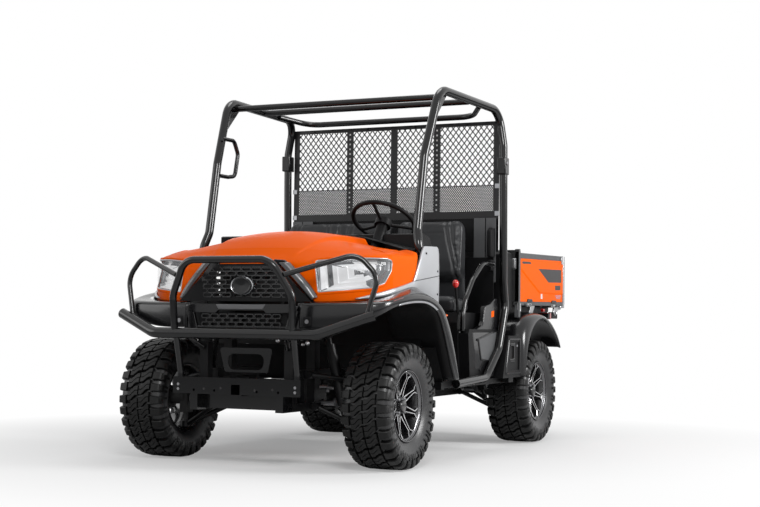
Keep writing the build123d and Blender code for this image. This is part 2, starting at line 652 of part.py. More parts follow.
hood_hinges = (-72, 72)
hinge_leaf = 14
outer_form = hood_form(0)
inner_form = hood_form(hood_wall)
with BuildPart() as hood:
    add(outer_form)
    add(inner_form, mode=Mode.SUBTRACT)
    add(pushed(side.offset(-800), hood_lower, 1600), mode=Mode.INTERSECT)
    add(pushed(front.offset(200), grille_opening, 300), mode=Mode.SUBTRACT)
    for cutter in (lamp_cutter(0), mirror(lamp_cutter(0), about=Plane.YZ, mode=Mode.PRIVATE)):
        add(cutter, mode=Mode.SUBTRACT)
    for x_here in hood_hinges:
        for start in (-1, 1):
            add(block(sorted((x_here + start * (hinge_leaf - running_gap), x_here + start * 36)), (hood_hinge[0] - 10, 470),
                      (hood_hinge[1] - 30, hood_hinge[1] + 30)), mode=Mode.SUBTRACT)
        add(block((x_here - hinge_leaf, x_here + hinge_leaf), (hood_hinge[0] - 26, hood_hinge[0]),
                  (hood_hinge[1] - 16, hood_hinge[1] + 3)))
        add(rod(spot(x_here - hinge_leaf, *hood_hinge), spot(x_here + hinge_leaf, *hood_hinge), hood_knuckle_radius))
        add(rod(spot(x_here - 40, *hood_hinge), spot(x_here + 40, *hood_hinge), hood_pin_radius + pin_gap), mode=Mode.SUBTRACT)
hood.part.label = "hood"
export_step(hood.part, "parts/hood.step")

cowl_line = [(283, 1100), (283, 1142), (406, 1214), (458, 1247), (458, 1400), (459, 1400), (459, 1100)]
with BuildPart() as dashboard:
    add(outer_form)
    add(inner_form, mode=Mode.SUBTRACT)
    add(pushed(side.offset(-655), cowl_line, 1310), mode=Mode.INTERSECT)
    add(pushed(side.offset(-636), [
        (453.5, 1232), (470, 1238), (560, 1218), (620, 1150), *dash_face, (520, 930),
        (488, 800), (486, floor_z + 192.3), (446, floor_z + 192.3),
    ], 2 * 636))
    add(rod(hub_place - column_way * 34, hub_place - column_way * 251, 32 + running_gap), mode=Mode.SUBTRACT)
    for x_here in hood_hinges:
        add(block((x_here - 34, x_here + 34), (430, hood_hinge[0] + 9), (hood_hinge[1] - 14, hood_hinge[1] + 40)),
            mode=Mode.SUBTRACT)
        for start in (-1, 1):
            near, far = sorted((x_here + start * (hinge_leaf + running_gap), x_here + start * 30))
            add(rod(spot(near, *hood_hinge), spot(far, *hood_hinge), hood_knuckle_radius))
            add(block((near, far), (hood_hinge[0], hood_hinge[0] + 14), (hood_hinge[1] - 7, hood_hinge[1] - 1)))
        add(rod(spot(x_here - 28, *hood_hinge), spot(x_here + 28, *hood_hinge), hood_pin_radius))
dashboard.part.label = "dashboard"
export_step(dashboard.part, "parts/dashboard.step")

with BuildPart() as headlamps:
    add(outer_form)
    add(hood_form(60), mode=Mode.SUBTRACT)
    add(lamp_cutter(lamp_gap), mode=Mode.INTERSECT)
    mirror(about=Plane.YZ)
headlamps.part.label = "headlamps"
export_step(headlamps.part, "parts/headlamps.step")


# ---- front panels ----

fascia_plan = [(330, -372), (560, -347), (680, -318), (742, -275), (768, -190), (768, 0)]
fascia_rows = [(700, 8), (712, 0), (800, 0), (842, 4)]       # height, how far in from the plan
fascia_end = -190


def fascia_form(wall):
    """The bumper panel's outer form, in by a wall."""
    with BuildPart() as form:
        for z_here, tuck in fascia_rows:
            with BuildSketch(top.offset(z_here + (wall if z_here > 800 else -wall if z_here < 712 else 0))):
                with BuildLine():
                    half = [(x - (tuck + wall) * 0.8 * (x > 600), y + tuck + wall) for x, y in fascia_plan]
                    Polyline(*half, *[(-x, y) for x, y in reversed(half)], close=True)
                make_face()
        loft(ruled=True)
    return form.part


with BuildPart() as front_fascia:
    add(fascia_form(0))
    add(fascia_form(panel), mode=Mode.SUBTRACT)
    add(block((-900, 900), (fascia_end, 200), (600, 900)), mode=Mode.SUBTRACT)
    add(block((-250, 250), (-420, -300), (717, 786)), mode=Mode.SUBTRACT)
    for hand in (-1, 1):
        add(block((hand * 236 - 10, hand * 236 + 10), (-362, -290), (640 + running_gap, 708)))
front_fascia.part.label = "front_fascia"
export_step(front_fascia.part, "parts/front_fascia.step")

upper_grille = [(-386, 848), (386, 848), (186, 1036), (-186, 1036)]
upper_slots = [(x, z) for z in (878, 908, 938, 968, 998, 1020) for x in range(-145, 146, 58) if abs(x) < 350 - (z - 848)]
lower_slots = [(x, z) for z in (732, 752, 772) for x in range(-208, 209, 52)]
with BuildPart() as grille:
    add(pushed(front.offset(352), upper_grille, 10))
    add(block((-256, 256), (-372 + panel + running_gap, -357), (714, 789)))
    for hand in (-1, 1):
        add(block((hand * 226 - 8, hand * 226 + 8), (-358.5, -350), (780, 870)))
    with BuildSketch(front.offset(340)):
        with Locations(*upper_slots):
            Rectangle(48, 12)
        with Locations(*lower_slots):
            Rectangle(42, 11)
        chamfer(vertices(), 4)
    extrude(amount=60, mode=Mode.SUBTRACT)
    with BuildSketch(front.offset(358)):
        with Locations((0, 927)):
            Ellipse(62, 46)
    extrude(amount=10)
grille.part.label = "grille"
export_step(grille.part, "parts/grille.step")

fender_band = [     # y, z
    (fascia_end + running_gap, 706), (fascia_end + running_gap, 842), (-166, 858), (45, 894), (190, 902), (290, 876), (423, 815), (560, 640), (640, 440),
    (610, 440), (520, 620), (359, 766), (128, 837), (-40, 832), (-140, 780), (-170, 706),
]
with BuildPart() as front_fenders:
    add(pushed(side.offset(642), fender_band, 146))
    with BuildSketch(side.offset(641)):
        with BuildLine():
            Polyline(*fender_band, close=True)
        make_face()
        offset(amount=-fender_wall, mode=Mode.REPLACE)
    extrude(amount=147 - fender_wall, mode=Mode.SUBTRACT)
    mirror(about=Plane.YZ)
front_fenders.part.label = "front_fenders"
export_step(front_fenders.part, "parts/front_fenders.step")

cowl_outline = [(198, 955), (290, 1146), (400, 1176), (565, 1168), (578, 1100), (520, 842), (436, 850), (300, 905)]
with BuildPart() as cowl_sides:
    add(pushed(side.offset(711), cowl_outline, panel))
    add(block((636 + running_gap, 712), (520, 556), (1090, 1102)))
    mirror(about=Plane.YZ)
cowl_sides.part.label = "cowl_sides"
export_step(cowl_sides.part, "parts/cowl_sides.step")

main_tube = [(-740, -361, 781), (-474, -463, 683), (474, -463, 683), (740, -361, 781)]
hoop = [(-342, -467, 700), (-347, -482, 876), (-250, hoop_tube / 2 - front_reach, 1056),
        (250, hoop_tube / 2 - front_reach, 1056), (347, -482, 876), (342, -467, 700)]
loop = [(302, -508, 976), (633, -338, 1084), (735, -315, 971), (686, -342, 775)]
with BuildPart() as brush_guard:
    add(bent([spot(*p) for p in main_tube], 110, guard_tube))
    add(bent([spot(*p) for p in hoop], 70, hoop_tube))
    for hand in (-1, 1):
        add(bent([spot(hand * x, y, z) for x, y, z in loop], 55, loop_tube))
        add(bent([spot(hand * 341, -402.7, 384), spot(hand * 341, -402.7, 484), spot(hand * 343, -452, 680)], 40, hoop_tube))
        add(rod(spot(hand * 252, -341, 610), spot(hand * 300, -452, 684), hoop_tube / 2))
brush_guard.part.label = "brush_guard"
export_step(brush_guard.part, "parts/brush_guard.step")

with BuildPart() as bumper_plate:
    add(block((-372, 372), (-427, -419), (374, 459)))
    for hand in (-1, 1):
        add(block((hand * rail_x - 22, hand * rail_x + 22), (-420, -330 - running_gap), (rail_span[0], 440)))
    add(block((-32, 32), (-420, -312 - running_gap), (368, 432)))
    add(block((-rail_x, rail_x), (-360, -340), (300, 440)))
    add(block((-25.4, 25.4), (-430, -330), (374.6, 425.4)), mode=Mode.SUBTRACT)
    with BuildSketch(front.offset(400)):
        with Locations((-246, 393), (-124, 393), (124, 393), (246, 393)):
            Circle(6.5)
    extrude(amount=40, mode=Mode.SUBTRACT)
bumper_plate.part.label = "bumper_plate"
export_step(bumper_plate.part, "parts/bumper_plate.step")


# ---- rear body ----

arch_points = [(-350.7, 370), (-334, 680), (-208, 800), (98, 811), (330, 728), (488, 545)]     # y from the axle, z
arch_trim = [(-600, 250), (-600, 430), (-300, 430), (-290, 500), (100, 560), (300, 613), (700, 613), (700, 250)]
fender_inner = 530
fender_outer = 800


def arch_region(x_here, inset):
    """The area under the fender's arch, in by a wall."""
    with BuildSketch(side.offset(x_here)) as region:
        with BuildLine():
            FilletPolyline(*[(wheelbase + y, z) for y, z in arch_points], radius=105)
            Line((wheelbase + arch_points[-1][0], arch_points[-1][1]), (wheelbase + arch_points[0][0], arch_points[0][1]))
        make_face()
        if inset:
            offset(amount=-inset, mode=Mode.REPLACE)
    return region.sketch


with BuildPart() as rear_fenders:
    for x_here, wall, width in ((fender_inner, fender_wall, fender_outer - fender_inner), (fender_outer - fender_wall, 22, fender_wall)):
        extrude(arch_region(x_here, 0), amount=width)
        extrude(arch_region(x_here, wall), amount=width - (fender_wall if wall == fender_wall else 0), mode=Mode.SUBTRACT)
    add(pushed(side.offset(fender_inner - 1), [(wheelbase + y, z) for y, z in arch_trim], 300), mode=Mode.SUBTRACT)
    mirror(about=Plane.YZ)
rear_fenders.part.label = "rear_fenders"
export_step(rear_fenders.part, "parts/rear_fenders.step")

box_low = floor_z
box_outline = [(1345, box_low), (1378, 520), (1440, 677), (1664, 677), (1664, box_low)]
box_recess = [(1500, 470), (1500, 600), (1470, 600), (1480, 640), (1640, 640), (1640, 470)]
with BuildPart() as storage_boxes:
    add(pushed(side.offset(727), box_outline, 60))
    add(pushed(side.offset(781), box_recess, 10), mode=Mode.SUBTRACT)
    mirror(about=Plane.YZ)
storage_boxes.part.label = "storage_boxes"
export_step(storage_boxes.part, "parts/storage_boxes.step")

lamp_back = lamp_carrier[2] + running_gap
with BuildPart() as tail_lamps:
    add(block((640, lamp_carrier[0]), (lamp_back, lamp_back + 26), (784, 826)))
    mirror(about=Plane.YZ)
tail_lamps.part.label = "tail_lamps"
export_step(tail_lamps.part, "parts/tail_lamps.step")


# ---- load bed ----

bed_top = bed_floor_z + bed_height
gate_panel = [(bed_front + 72, 908), (bed_rear - 110, 908), (bed_rear - 110, 1186), (bed_front + 72, 1186)]
deck_half = bed_half - bed_wall - gate_gap
gate_x = bed_half - bed_wall / 2
tail_y = bed_rear - 4 - bed_wall / 2
knuckle_radius = 10
gate_low = hinge_axis_z + knuckle_radius + 2
side_hinges = (wheelbase - 85, wheelbase + 465)
rib_stations = [bed_front + 45, bed_front + 135, wheelbase + 95, wheelbase + 285, wheelbase + 545]
tail_hinges = (-480, 480)
with BuildPart() as bed:
    add(block((-deck_half, deck_half), (bed_front, tail_y - bed_wall / 2 - gate_gap), (bed_floor_z - bed_sheet, bed_floor_z)))
    add(block((-bed_half, bed_half), (bed_front, bed_front + bed_wall), (bed_floor_z - bed_sheet, bed_top)))
    for hand in (-1, 1):
        add(block((hand * rail_x - 25, hand * rail_x + 25), (bed_front + 20, bed_rear - 50), (sill_low, bed_floor_z - bed_sheet + 1)))
        add(block((hand * (rail_x + 33) - 6, hand * (rail_x + 33) + 6), (bed_pivot[0] - 26, bed_pivot[0] + 26),
                  (bed_pivot[1] - 22, bed_floor_z - bed_sheet + 1)))
    for y_here in rib_stations:
        add(block((-deck_half + 6, deck_half - 6), (y_here - 20, y_here + 20), (862, bed_floor_z - bed_sheet + 1)))
    add(rod(spot(-rail_x - 42, *bed_pivot), spot(rail_x + 42, *bed_pivot), bed_pin_radius))
    for near in (-1, 1):
        lug_x = lift_x + near * (lift_eye_width / 2 + running_gap + 6)
        add(block((lug_x - 6, lug_x + 6), (lift_eye[0] - 26, lift_eye[0] + 26), (lift_eye[1] - 24, bed_floor_z - bed_sheet + 1)))
    add(rod(spot(lift_x - 40, *lift_eye), spot(lift_x + 40, *lift_eye), bed_pin_radius), mode=Mode.SUBTRACT)
    for hand in (-1, 1):
        for y_here in side_hinges:
            add(rod(spot(hand * gate_x, y_here - 62, hinge_axis_z), spot(hand * gate_x, y_here + 62, hinge_axis_z), hinge_pin_radius))
            for end in (-1, 1):
                add(rod(spot(hand * gate_x, y_here + end * 60, hinge_axis_z), spot(hand * gate_x, y_here + end * 31, hinge_axis_z), knuckle_radius))
                add(block(sorted((hand * (deck_half - 40), hand * gate_x)), sorted((y_here + end * 60, y_here + end * 31)),
                          (hinge_axis_z - 8, hinge_axis_z + 4)))
            add(block(sorted((hand * (deck_half - 60), hand * (deck_half - 20))), (y_here - 60, y_here + 60),
                      (hinge_axis_z - 8, bed_floor_z - bed_sheet + 1)))
    for x_here in tail_hinges:
        add(rod(spot(x_here - 62, tail_y, hinge_axis_z), spot(x_here + 62, tail_y, hinge_axis_z), hinge_pin_radius))
        for end in (-1, 1):
            add(rod(spot(x_here + end * 60, tail_y, hinge_axis_z), spot(x_here + end * 31, tail_y, hinge_axis_z), knuckle_radius))
            add(block(sorted((x_here + end * 60, x_here + end * 31)), (tail_y - 90, tail_y), (hinge_axis_z - 8, hinge_axis_z + 4)))
        add(block((x_here - 60, x_here + 60), (tail_y - 90, tail_y - 60), (hinge_axis_z - 8, bed_floor_z - bed_sheet + 1)))
bed.part.label = "bed"
export_step(bed.part, "parts/bed.step")

for name, hand in (("side_gate_left", 1), ("side_gate_right", -1)):
    with BuildPart() as side_gate:
        add(block(sorted((hand * (bed_half - bed_wall), hand * bed_half)),
                  (bed_front + bed_wall + gate_gap, tail_y - bed_wall / 2 - gate_gap), (gate_low, bed_top)))
        for y_here in side_hinges:
            add(rod(spot(hand * gate_x, y_here - 30, hinge_axis_z), spot(hand * gate_x, y_here + 30, hinge_axis_z), knuckle_radius))
            add(block(sorted((hand * (gate_x - 7), hand * (gate_x + 7))), (y_here - 30, y_here + 30), (hinge_axis_z, gate_low + 4)))
            add(rod(spot(hand * gate_x, y_here - 31, hinge_axis_z), spot(hand * gate_x, y_here + 31, hinge_axis_z),
                    hinge_pin_radius + pin_gap), mode=Mode.SUBTRACT)
        add(pushed(side.offset(bed_half - 7 if hand > 0 else -bed_half - 1), gate_panel, 8), mode=Mode.SUBTRACT)
    side_gate.part.label = name
    export_step(side_gate.part, "parts/" + name + ".step")

with BuildPart() as tailgate:
    add(block((-bed_half, bed_half), (tail_y - bed_wall / 2, tail_y + bed_wall / 2), (gate_low, bed_top)))
    add(block((-60, 60), (tail_y, bed_rear), (bed_top - 70, bed_top - 30)))
    for x_here in tail_hinges:
        add(rod(spot(x_here - 30, tail_y, hinge_axis_z), spot(x_here + 30, tail_y, hinge_axis_z), knuckle_radius))
        add(block((x_here - 30, x_here + 30), (tail_y - 7, tail_y + 7), (hinge_axis_z, gate_low + 4)))
        add(rod(spot(x_here - 31, tail_y, hinge_axis_z), spot(x_here + 31, tail_y, hinge_axis_z), hinge_pin_radius + pin_gap),
            mode=Mode.SUBTRACT)
tailgate.part.label = "tailgate"
export_step(tailgate.part, "parts/tailgate.step")

lift_foot = spot(lift_x, *lift_base)
lift_head = spot(lift_x, *lift_eye)
lift_way = (lift_head - lift_foot).normalized()
with BuildPart() as lift_barrel:
    add(rod(lift_foot - Vector(lift_eye_width / 2, 0, 0), lift_foot + Vector(lift_eye_width / 2, 0, 0), lift_eye_radius))
    add(rod(lift_foot, lift_foot + lift_way * 60, lift_rod_radius))
    add(rod(lift_foot + lift_way * 46, lift_foot + lift_way * 405, barrel_radius))
    add(rod(lift_foot + lift_way * 62, lift_foot + lift_way * 406, lift_rod_radius + pin_gap), mode=Mode.SUBTRACT)
    add(rod(lift_foot - Vector(28, 0, 0), lift_foot + Vector(28, 0, 0), bed_pin_radius))
lift_barrel.part.label = "lift_barrel"
export_step(lift_barrel.part, "parts/lift_barrel.step")

with BuildPart() as lift_rod:
    add(rod(lift_foot + lift_way * 68, lift_head, lift_rod_radius))
    add(rod(lift_head - Vector(lift_eye_width / 2, 0, 0), lift_head + Vector(lift_eye_width / 2, 0, 0), lift_eye_radius))
lift_rod.part.label = "lift_rod"
export_step(lift_rod.part, "parts/lift_rod.step")
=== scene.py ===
import json
import math
import bmesh
import bpy
import numpy as np
from mathutils import Matrix, Vector


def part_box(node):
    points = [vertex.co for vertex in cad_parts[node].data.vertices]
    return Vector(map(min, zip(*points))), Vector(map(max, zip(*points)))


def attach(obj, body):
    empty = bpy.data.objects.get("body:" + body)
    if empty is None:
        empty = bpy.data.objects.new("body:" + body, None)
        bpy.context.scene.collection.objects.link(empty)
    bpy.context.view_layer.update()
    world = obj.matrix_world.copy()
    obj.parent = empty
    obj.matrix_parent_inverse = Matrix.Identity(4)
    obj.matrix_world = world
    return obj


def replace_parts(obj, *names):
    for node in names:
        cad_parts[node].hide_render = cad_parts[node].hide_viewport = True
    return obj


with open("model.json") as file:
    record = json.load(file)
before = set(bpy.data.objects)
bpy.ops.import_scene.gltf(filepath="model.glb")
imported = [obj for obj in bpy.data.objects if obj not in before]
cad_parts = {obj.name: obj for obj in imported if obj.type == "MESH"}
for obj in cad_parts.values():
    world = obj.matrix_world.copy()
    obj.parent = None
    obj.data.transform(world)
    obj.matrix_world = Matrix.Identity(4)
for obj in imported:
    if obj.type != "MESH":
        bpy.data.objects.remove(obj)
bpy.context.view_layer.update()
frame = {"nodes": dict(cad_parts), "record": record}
scene = bpy.context.scene
frontAxle = -1.0705      # station of the front axle; pieces are measured back from it
tyreRadius = 0.325
hands = (("left", 1), ("right", -1))
slotOfLook = {}          # the slot named for each look

# Materials


def treeTools(tree):
    # two short ways to add a node with its settings, and to wire (node, socket, node, socket) rows
    def add(kind, values=(), **settings):
        node = tree.nodes.new("ShaderNode" + kind)
        for key, value in settings.items():
            setattr(node, key, value)
        setSockets(node, values)
        return node

    def wire(*rows):
        for source, out, target, into in rows:
            tree.links.new(source.outputs[out], target.inputs[into])
    return add, wire


def setSockets(node, values):
    for key, value in dict(values).items():
        node.inputs[key].default_value = value


def material(name, base, rough=0.5, metal=0.0, coat=0.0, coatRough=0.1, specular=0.5, emit=None, alpha=1.0,
             grain=0.0, grainScale=400.0, blotch=0.0, blotchScale=6.0, slot=None):
    # plain sockets, a fine bump from noise and a slow drift of shade from a wider noise
    m = bpy.data.materials.new(name)
    m.use_nodes = True
    slotOfLook[name] = slot
    add, wire = treeTools(m.node_tree)
    shader = m.node_tree.nodes["Principled BSDF"]
    setSockets(shader, {"Base Color": (*base, 1), "Roughness": rough, "Metallic": metal, "Coat Weight": coat,
                        "Coat Roughness": coatRough, "Specular IOR Level": specular, "Alpha": alpha})
    if emit:
        setSockets(shader, {"Emission Color": (*emit[:3], 1), "Emission Strength": emit[3]})
    place = add("TexCoord")
    if grain:
        noise = add("TexNoise", {"Scale": grainScale, "Detail": 3})
        bump = add("Bump", {"Strength": grain, "Distance": 0.001})
        wire((place, "Object", noise, "Vector"), (noise, "Fac", bump, "Height"), (bump, "Normal", shader, "Normal"))
    if blotch:
        wide = add("TexNoise", {"Scale": blotchScale, "Detail": 6})
        mix = add("Mix", {6: (*[c * (1 - blotch) for c in base], 1),
                          7: (*[min(1, c * (1 + blotch)) for c in base], 1)}, data_type="RGBA")
        spread = add("MapRange", {"To Min": rough * (1 - blotch * 0.5), "To Max": min(1, rough * (1 + blotch * 0.5))})
        wire((place, "Object", wide, "Vector"), (wide, "Fac", mix, "Factor"), (mix, 2, shader, "Base Color"),
             (wide, "Fac", spread, "Value"), (spread, "Result", shader, "Roughness"))
    return m


looks = {
    "orange_paint": material("orangePaint", (0.92, 0.12, 0.0005), 0.38, coat=0.03, specular=0.03, blotch=0.03,
                             blotchScale=3),
    "frame_black": material("frameBlack", (0.003, 0.003, 0.0034), 0.40, specular=0.2, blotch=0.3, blotchScale=9,
                            grain=0.15, grainScale=700),
    "tube_black": material("tubeBlack", (0.002, 0.002, 0.0024), 0.2, coat=0.45, coatRough=0.07, specular=0.25,
                           blotch=0.15, blotchScale=12),
    "panel_black": material("panelBlack", (0.0055, 0.0055, 0.006), 0.42, specular=0.14, grain=0.3, grainScale=900,
                            blotch=0.2),
    "gloss_black": material("glossBlack", (0.006, 0.006, 0.0068), 0.25, coat=0.5, coatRough=0.13, specular=0.2,
                            grain=0.12, grainScale=900, blotch=0.15),
    "silver_paint": material("silverPaint", (0.42, 0.43, 0.45), 0.35, metal=0.75, coat=0.5, blotch=0.08),
    "bed_steel": material("bedSteel", (0.022, 0.022, 0.023), 0.5, specular=0.4, grain=0.5, grainScale=600, blotch=0.25),
    "vinyl": material("vinyl", (0.045, 0.045, 0.047), 0.48, grain=0.35, grainScale=1200, blotch=0.15),
    "tyre": material("tyreRubber", (0.003, 0.003, 0.003), 0.44, specular=0.28, grain=0.25, grainScale=500, blotch=0.3,
                     blotchScale=14),
    "alloy": material("alloy", (0.62, 0.62, 0.63), 0.28, metal=1.0, blotch=0.1),
    "cast_metal": material("castMetal", (0.03, 0.03, 0.03), 0.6, metal=0.4, grain=0.6, grainScale=250, blotch=0.4),
    "steel": material("steel", (0.25, 0.25, 0.26), 0.4, metal=0.9, blotch=0.2),
    "chrome_rod": material("chromeRod", (0.8, 0.8, 0.8), 0.1, metal=1.0),
    "lamp_glass": material("lampGlass", (0.9, 0.93, 0.96), 0.08, coat=1.0, alpha=0.35),
    "lamp_red": material("lampRed", (0.35, 0.004, 0.004), 0.2, coat=1.0),
}
slotOfLook.update({look.name: key for key, look in looks.items()})
slotOf = {s["node"]: s["material_slot"] for s in frame["record"]["subparts"]}
for nodeName, nodeObject in frame["nodes"].items():
    for slotHere in nodeObject.material_slots:
        slotHere.material = looks[slotOf[nodeName]]
orange, silver, steel = looks["orange_paint"], looks["silver_paint"], looks["steel"]
gloss, panelBlack, tubeBlack = looks["gloss_black"], looks["panel_black"], looks["tube_black"]

# Shapes


def solidFrom(name, points, quads, look, body="chassis", angle=38, slot=None):
    # one mesh from whole arrays: points (n, 3) in metres, faces as rows of indices
    mesh = bpy.data.meshes.new(name)
    faces = [f for block in quads for f in np.asarray(block).tolist()]
    mesh.from_pydata(np.asarray(points, float).reshape(-1, 3).tolist(), [], faces)
    mesh.validate()
    mesh.polygons.foreach_set("use_smooth", np.ones(len(mesh.polygons), bool))
    mesh.set_sharp_from_angle(angle=math.radians(angle))
    looksHere = look if isinstance(look, list) else [look]
    for one in looksHere:
        mesh.materials.append(one)
    piece = bpy.data.objects.new(name, mesh)
    scene.collection.objects.link(piece)
    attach(piece, body)
    slot = slotOfLook[looksHere[0].name] if slot is None else slot
    return piece


def recalc(piece):
    work = bmesh.new()
    work.from_mesh(piece.data)
    bmesh.ops.recalc_face_normals(work, faces=work.faces)
    work.to_mesh(piece.data)
    work.free()
    return piece


def gridFaces(rows, cols, closeRows=False, closeCols=False, flip=False, start=0):
    # quads between neighbours of a rows by cols grid of points
    i = np.arange(rows if closeRows else rows - 1)[:, None]
    j = np.arange(cols if closeCols else cols - 1)[None, :]
    a, b = i * cols + j, i * cols + (j + 1) % cols
    c, d = ((i + 1) % rows) * cols + (j + 1) % cols, ((i + 1) % rows) * cols + j
    quads = np.stack([a, b, c, d], -1).reshape(-1, 4) + start
    return quads[:, ::-1] if flip else quads


def copied(faces, count, stride):
    # the same faces for each of count copies, whose points follow each other
    faces = np.asarray(faces)
    return (faces[None] + (np.arange(count) * stride)[:, None, None]).reshape(-1, faces.shape[1])


def stack(*columns):
    return np.stack(np.broadcast_arrays(*columns), -1)


def metres(points):
    # from millimetres behind the front axle to the frame's metres
    return np.asarray(points, float) * 0.001 + (0, frontAxle, 0)


def unit(rows):
    return rows / np.linalg.norm(rows, axis=-1, keepdims=True)


def runAlong(points):
    # the length of a polyline up to each of its points
    return np.concatenate([[0], np.cumsum(np.linalg.norm(np.diff(points, axis=0), axis=1))])


def smooth(t):
    t = np.clip(t, 0, 1)
    return t * t * (3 - 2 * t)


def tubeRings(path, radius, sides, up):
    # rings square to a path, turned so that one side keeps facing up
    ahead = unit(np.gradient(path, axis=0))
    across = unit(np.cross(ahead, np.broadcast_to(np.asarray(up, float), ahead.shape)))
    rise = np.cross(across, ahead)
    turn = np.linspace(0, 2 * np.pi, sides, endpoint=False)[None, :, None]
    return path[:, None] + radius * (np.cos(turn) * across[:, None] + np.sin(turn) * rise[:, None])


def rounded(points, radius, steps=8):
    # a polyline whose corners become arcs of one radius
    points = np.asarray(points, float)
    out = [points[:1]]
    for before, corner, after in zip(points[:-2], points[1:-1], points[2:]):
        u, v = before - corner, after - corner
        ul, vl = np.linalg.norm(u), np.linalg.norm(v)
        u, v = u / ul, v / vl
        half = math.acos(max(-1, min(1, float(u @ v)))) / 2
        reach = min(radius / math.tan(half), ul * 0.49, vl * 0.49)
        bow = reach * math.tan(half)
        middle = corner + (u + v) / np.linalg.norm(u + v) * bow / math.sin(half)
        start, end = corner + u * reach - middle, corner + v * reach - middle
        sweep = math.acos(max(-1, min(1, float(start @ end) / bow ** 2)))
        t = np.linspace(0, 1, steps)[:, None]
        out.append(middle + (np.sin((1 - t) * sweep) * start + np.sin(t * sweep) * end) / math.sin(sweep))
    return np.concatenate(out + [points[-1:]])


def closedRound(points, radius, steps=6):
    points = np.asarray(points, float)
    ring = []
    for k in range(len(points)):
        three = np.stack([points[k - 1], points[k], points[(k + 1) % len(points)]])
        three = np.concatenate([three, np.zeros((3, 1))], 1)
        ring.append(rounded(three, radius, steps)[1:-1, :2])
    return np.concatenate(ring)


def lofted(name, sections, look, body="chassis", slot=None):
    # sections (n, m, 3): a skin through n rings of m points, with flat ends
    rows, cols = sections.shape[:2]
    first = np.arange(cols)[None, :]
    quads = [gridFaces(rows, cols, closeCols=True), first[:, ::-1], first + (rows - 1) * cols]
    return solidFrom(name, sections, quads, look, body, slot=slot)


def tube(name, points, radius, look, bend=0.05, sides=20, up=(1, 0, 0), steps=8, slot=None, body="chassis"):
    # a round bar along points in millimetres, its corners bent on one radius, with flat ends
    points = metres(points)
    path = rounded(points, bend, steps) if len(points) > 2 else points
    return lofted(name, tubeRings(path, radius, sides, up), look, body, slot)


def turned(name, profile, centre, axis, look, body="chassis", sides=64, angle=38, closed=False, slot=None):
    # a profile of (along, radius) turned about an axis through centre
    profile = np.asarray(profile, float)
    axis = np.asarray(axis, float) / np.linalg.norm(axis)
    side = np.cross(axis, (0, 0, 1) if abs(axis[2]) < 0.9 else (1, 0, 0))
    side /= np.linalg.norm(side)
    other = np.cross(axis, side)
    turn = np.linspace(0, 2 * np.pi, sides, endpoint=False)[:, None, None]
    rings = (np.asarray(centre) + profile[None, :, :1] * axis
             + profile[None, :, 1:] * (np.cos(turn) * side + np.sin(turn) * other))
    quads = gridFaces(sides, len(profile), closeRows=True, closeCols=closed)
    return solidFrom(name, rings, [quads], look, body, angle, slot)


def pin(name, profile, place, axis, look, sides=24, slot=None, body="chassis"):
    # a small turned piece, placed in millimetres
    return turned(name, profile, metres(place), axis, look, body, sides, slot=slot)


def slab(name, outline, depth, place, look, bevel, slot, body):
    # a flat outline of (u, v) pushed by depth; place turns arrays of (u, v, w) into row points
    n = len(outline)
    low = place(outline[:, 0], outline[:, 1], np.zeros(n))
    high = place(outline[:, 0], outline[:, 1], np.full(n, depth))
    k = np.arange(n)
    walls = np.stack([k, (k + 1) % n, (k + 1) % n + n, k + n], -1)
    quads = [walls, k[None, ::-1], (k + n)[None, :]]
    return bevelled(recalc(solidFrom(name, np.concatenate([low, high]), quads, look, body, slot=slot)), bevel)


def bevelled(piece, width):
    if width:
        mod = piece.modifiers.new("bevel", "BEVEL")
        mod.width, mod.segments = width, 3
        mod.limit_method, mod.angle_limit = "ANGLE", math.radians(30)
    return piece


def walled(piece, thickness, offset=-1):
    wall = piece.modifiers.new("wall", "SOLIDIFY")
    wall.thickness, wall.offset = thickness, offset
    return piece


def frontPlate(name, outline, y, depth, look, bevel=0.004, radius=0, slot=None):
    # an outline (x, z) in millimetres, pushed forwards from a plane
    shape = closedRound(outline, radius) if radius else np.asarray(outline, float)
    place = lambda u, v, w: stack(u, frontAxle + y / 1000 - w, v)
    return slab(name, shape / 1000, depth / 1000, place, look, bevel, slot, "chassis")


def sidePlate(name, outline, x, depth, look, bevel=0.002, radius=0, slot=None, body="chassis"):
    # an outline (y, z) in millimetres, pushed outwards from x
    shape = closedRound(outline, radius) if radius else np.asarray(outline, float)
    sign, x = 1 if x > 0 else -1, x / 1000
    place = lambda u, v, w: stack(x + sign * w, frontAxle + u, v)
    return slab(name, shape / 1000, depth / 1000, place, look, bevel, slot, body)


# Wheels

print("wheels")
wheelRubber = {"wall": material("tyreWall", (0.011, 0.011, 0.012), 0.36, coat=0.2, coatRough=0.3, grain=0.2,
                                grainScale=900, blotch=0.3, blotchScale=22, slot="tyre"), "tread": looks["tyre"]}
rimSilver = material("rimSilver", (0.72, 0.72, 0.73), 0.22, metal=1.0, grain=0.05, grainScale=2500, slot="alloy")
rimBlack = material("rimBlack", (0.008, 0.008, 0.009), 0.25, coat=0.8, slot="alloy")
tyrePitches = 30
treadTop = lambda x: 0.3252 - 0.0075 * (np.abs(x) / 0.118) ** 2.4
wheelRows = {"front_left": (0.661, 0.0), "front_right": (-0.661, 0.0),       # axle x and station
             "rear_left": (0.673, 2.015), "rear_right": (-0.673, 2.015)}


def sixSided(count, stations, closed):
    # faces of count bars of six-point sections, and their two ends
    ends = [list(range(6)), list(reversed(range((stations - 1) * 6, stations * 6)))]
    return [copied(faces, count, stations * 6) for faces in (gridFaces(stations, 6, closeCols=closed), ends)]


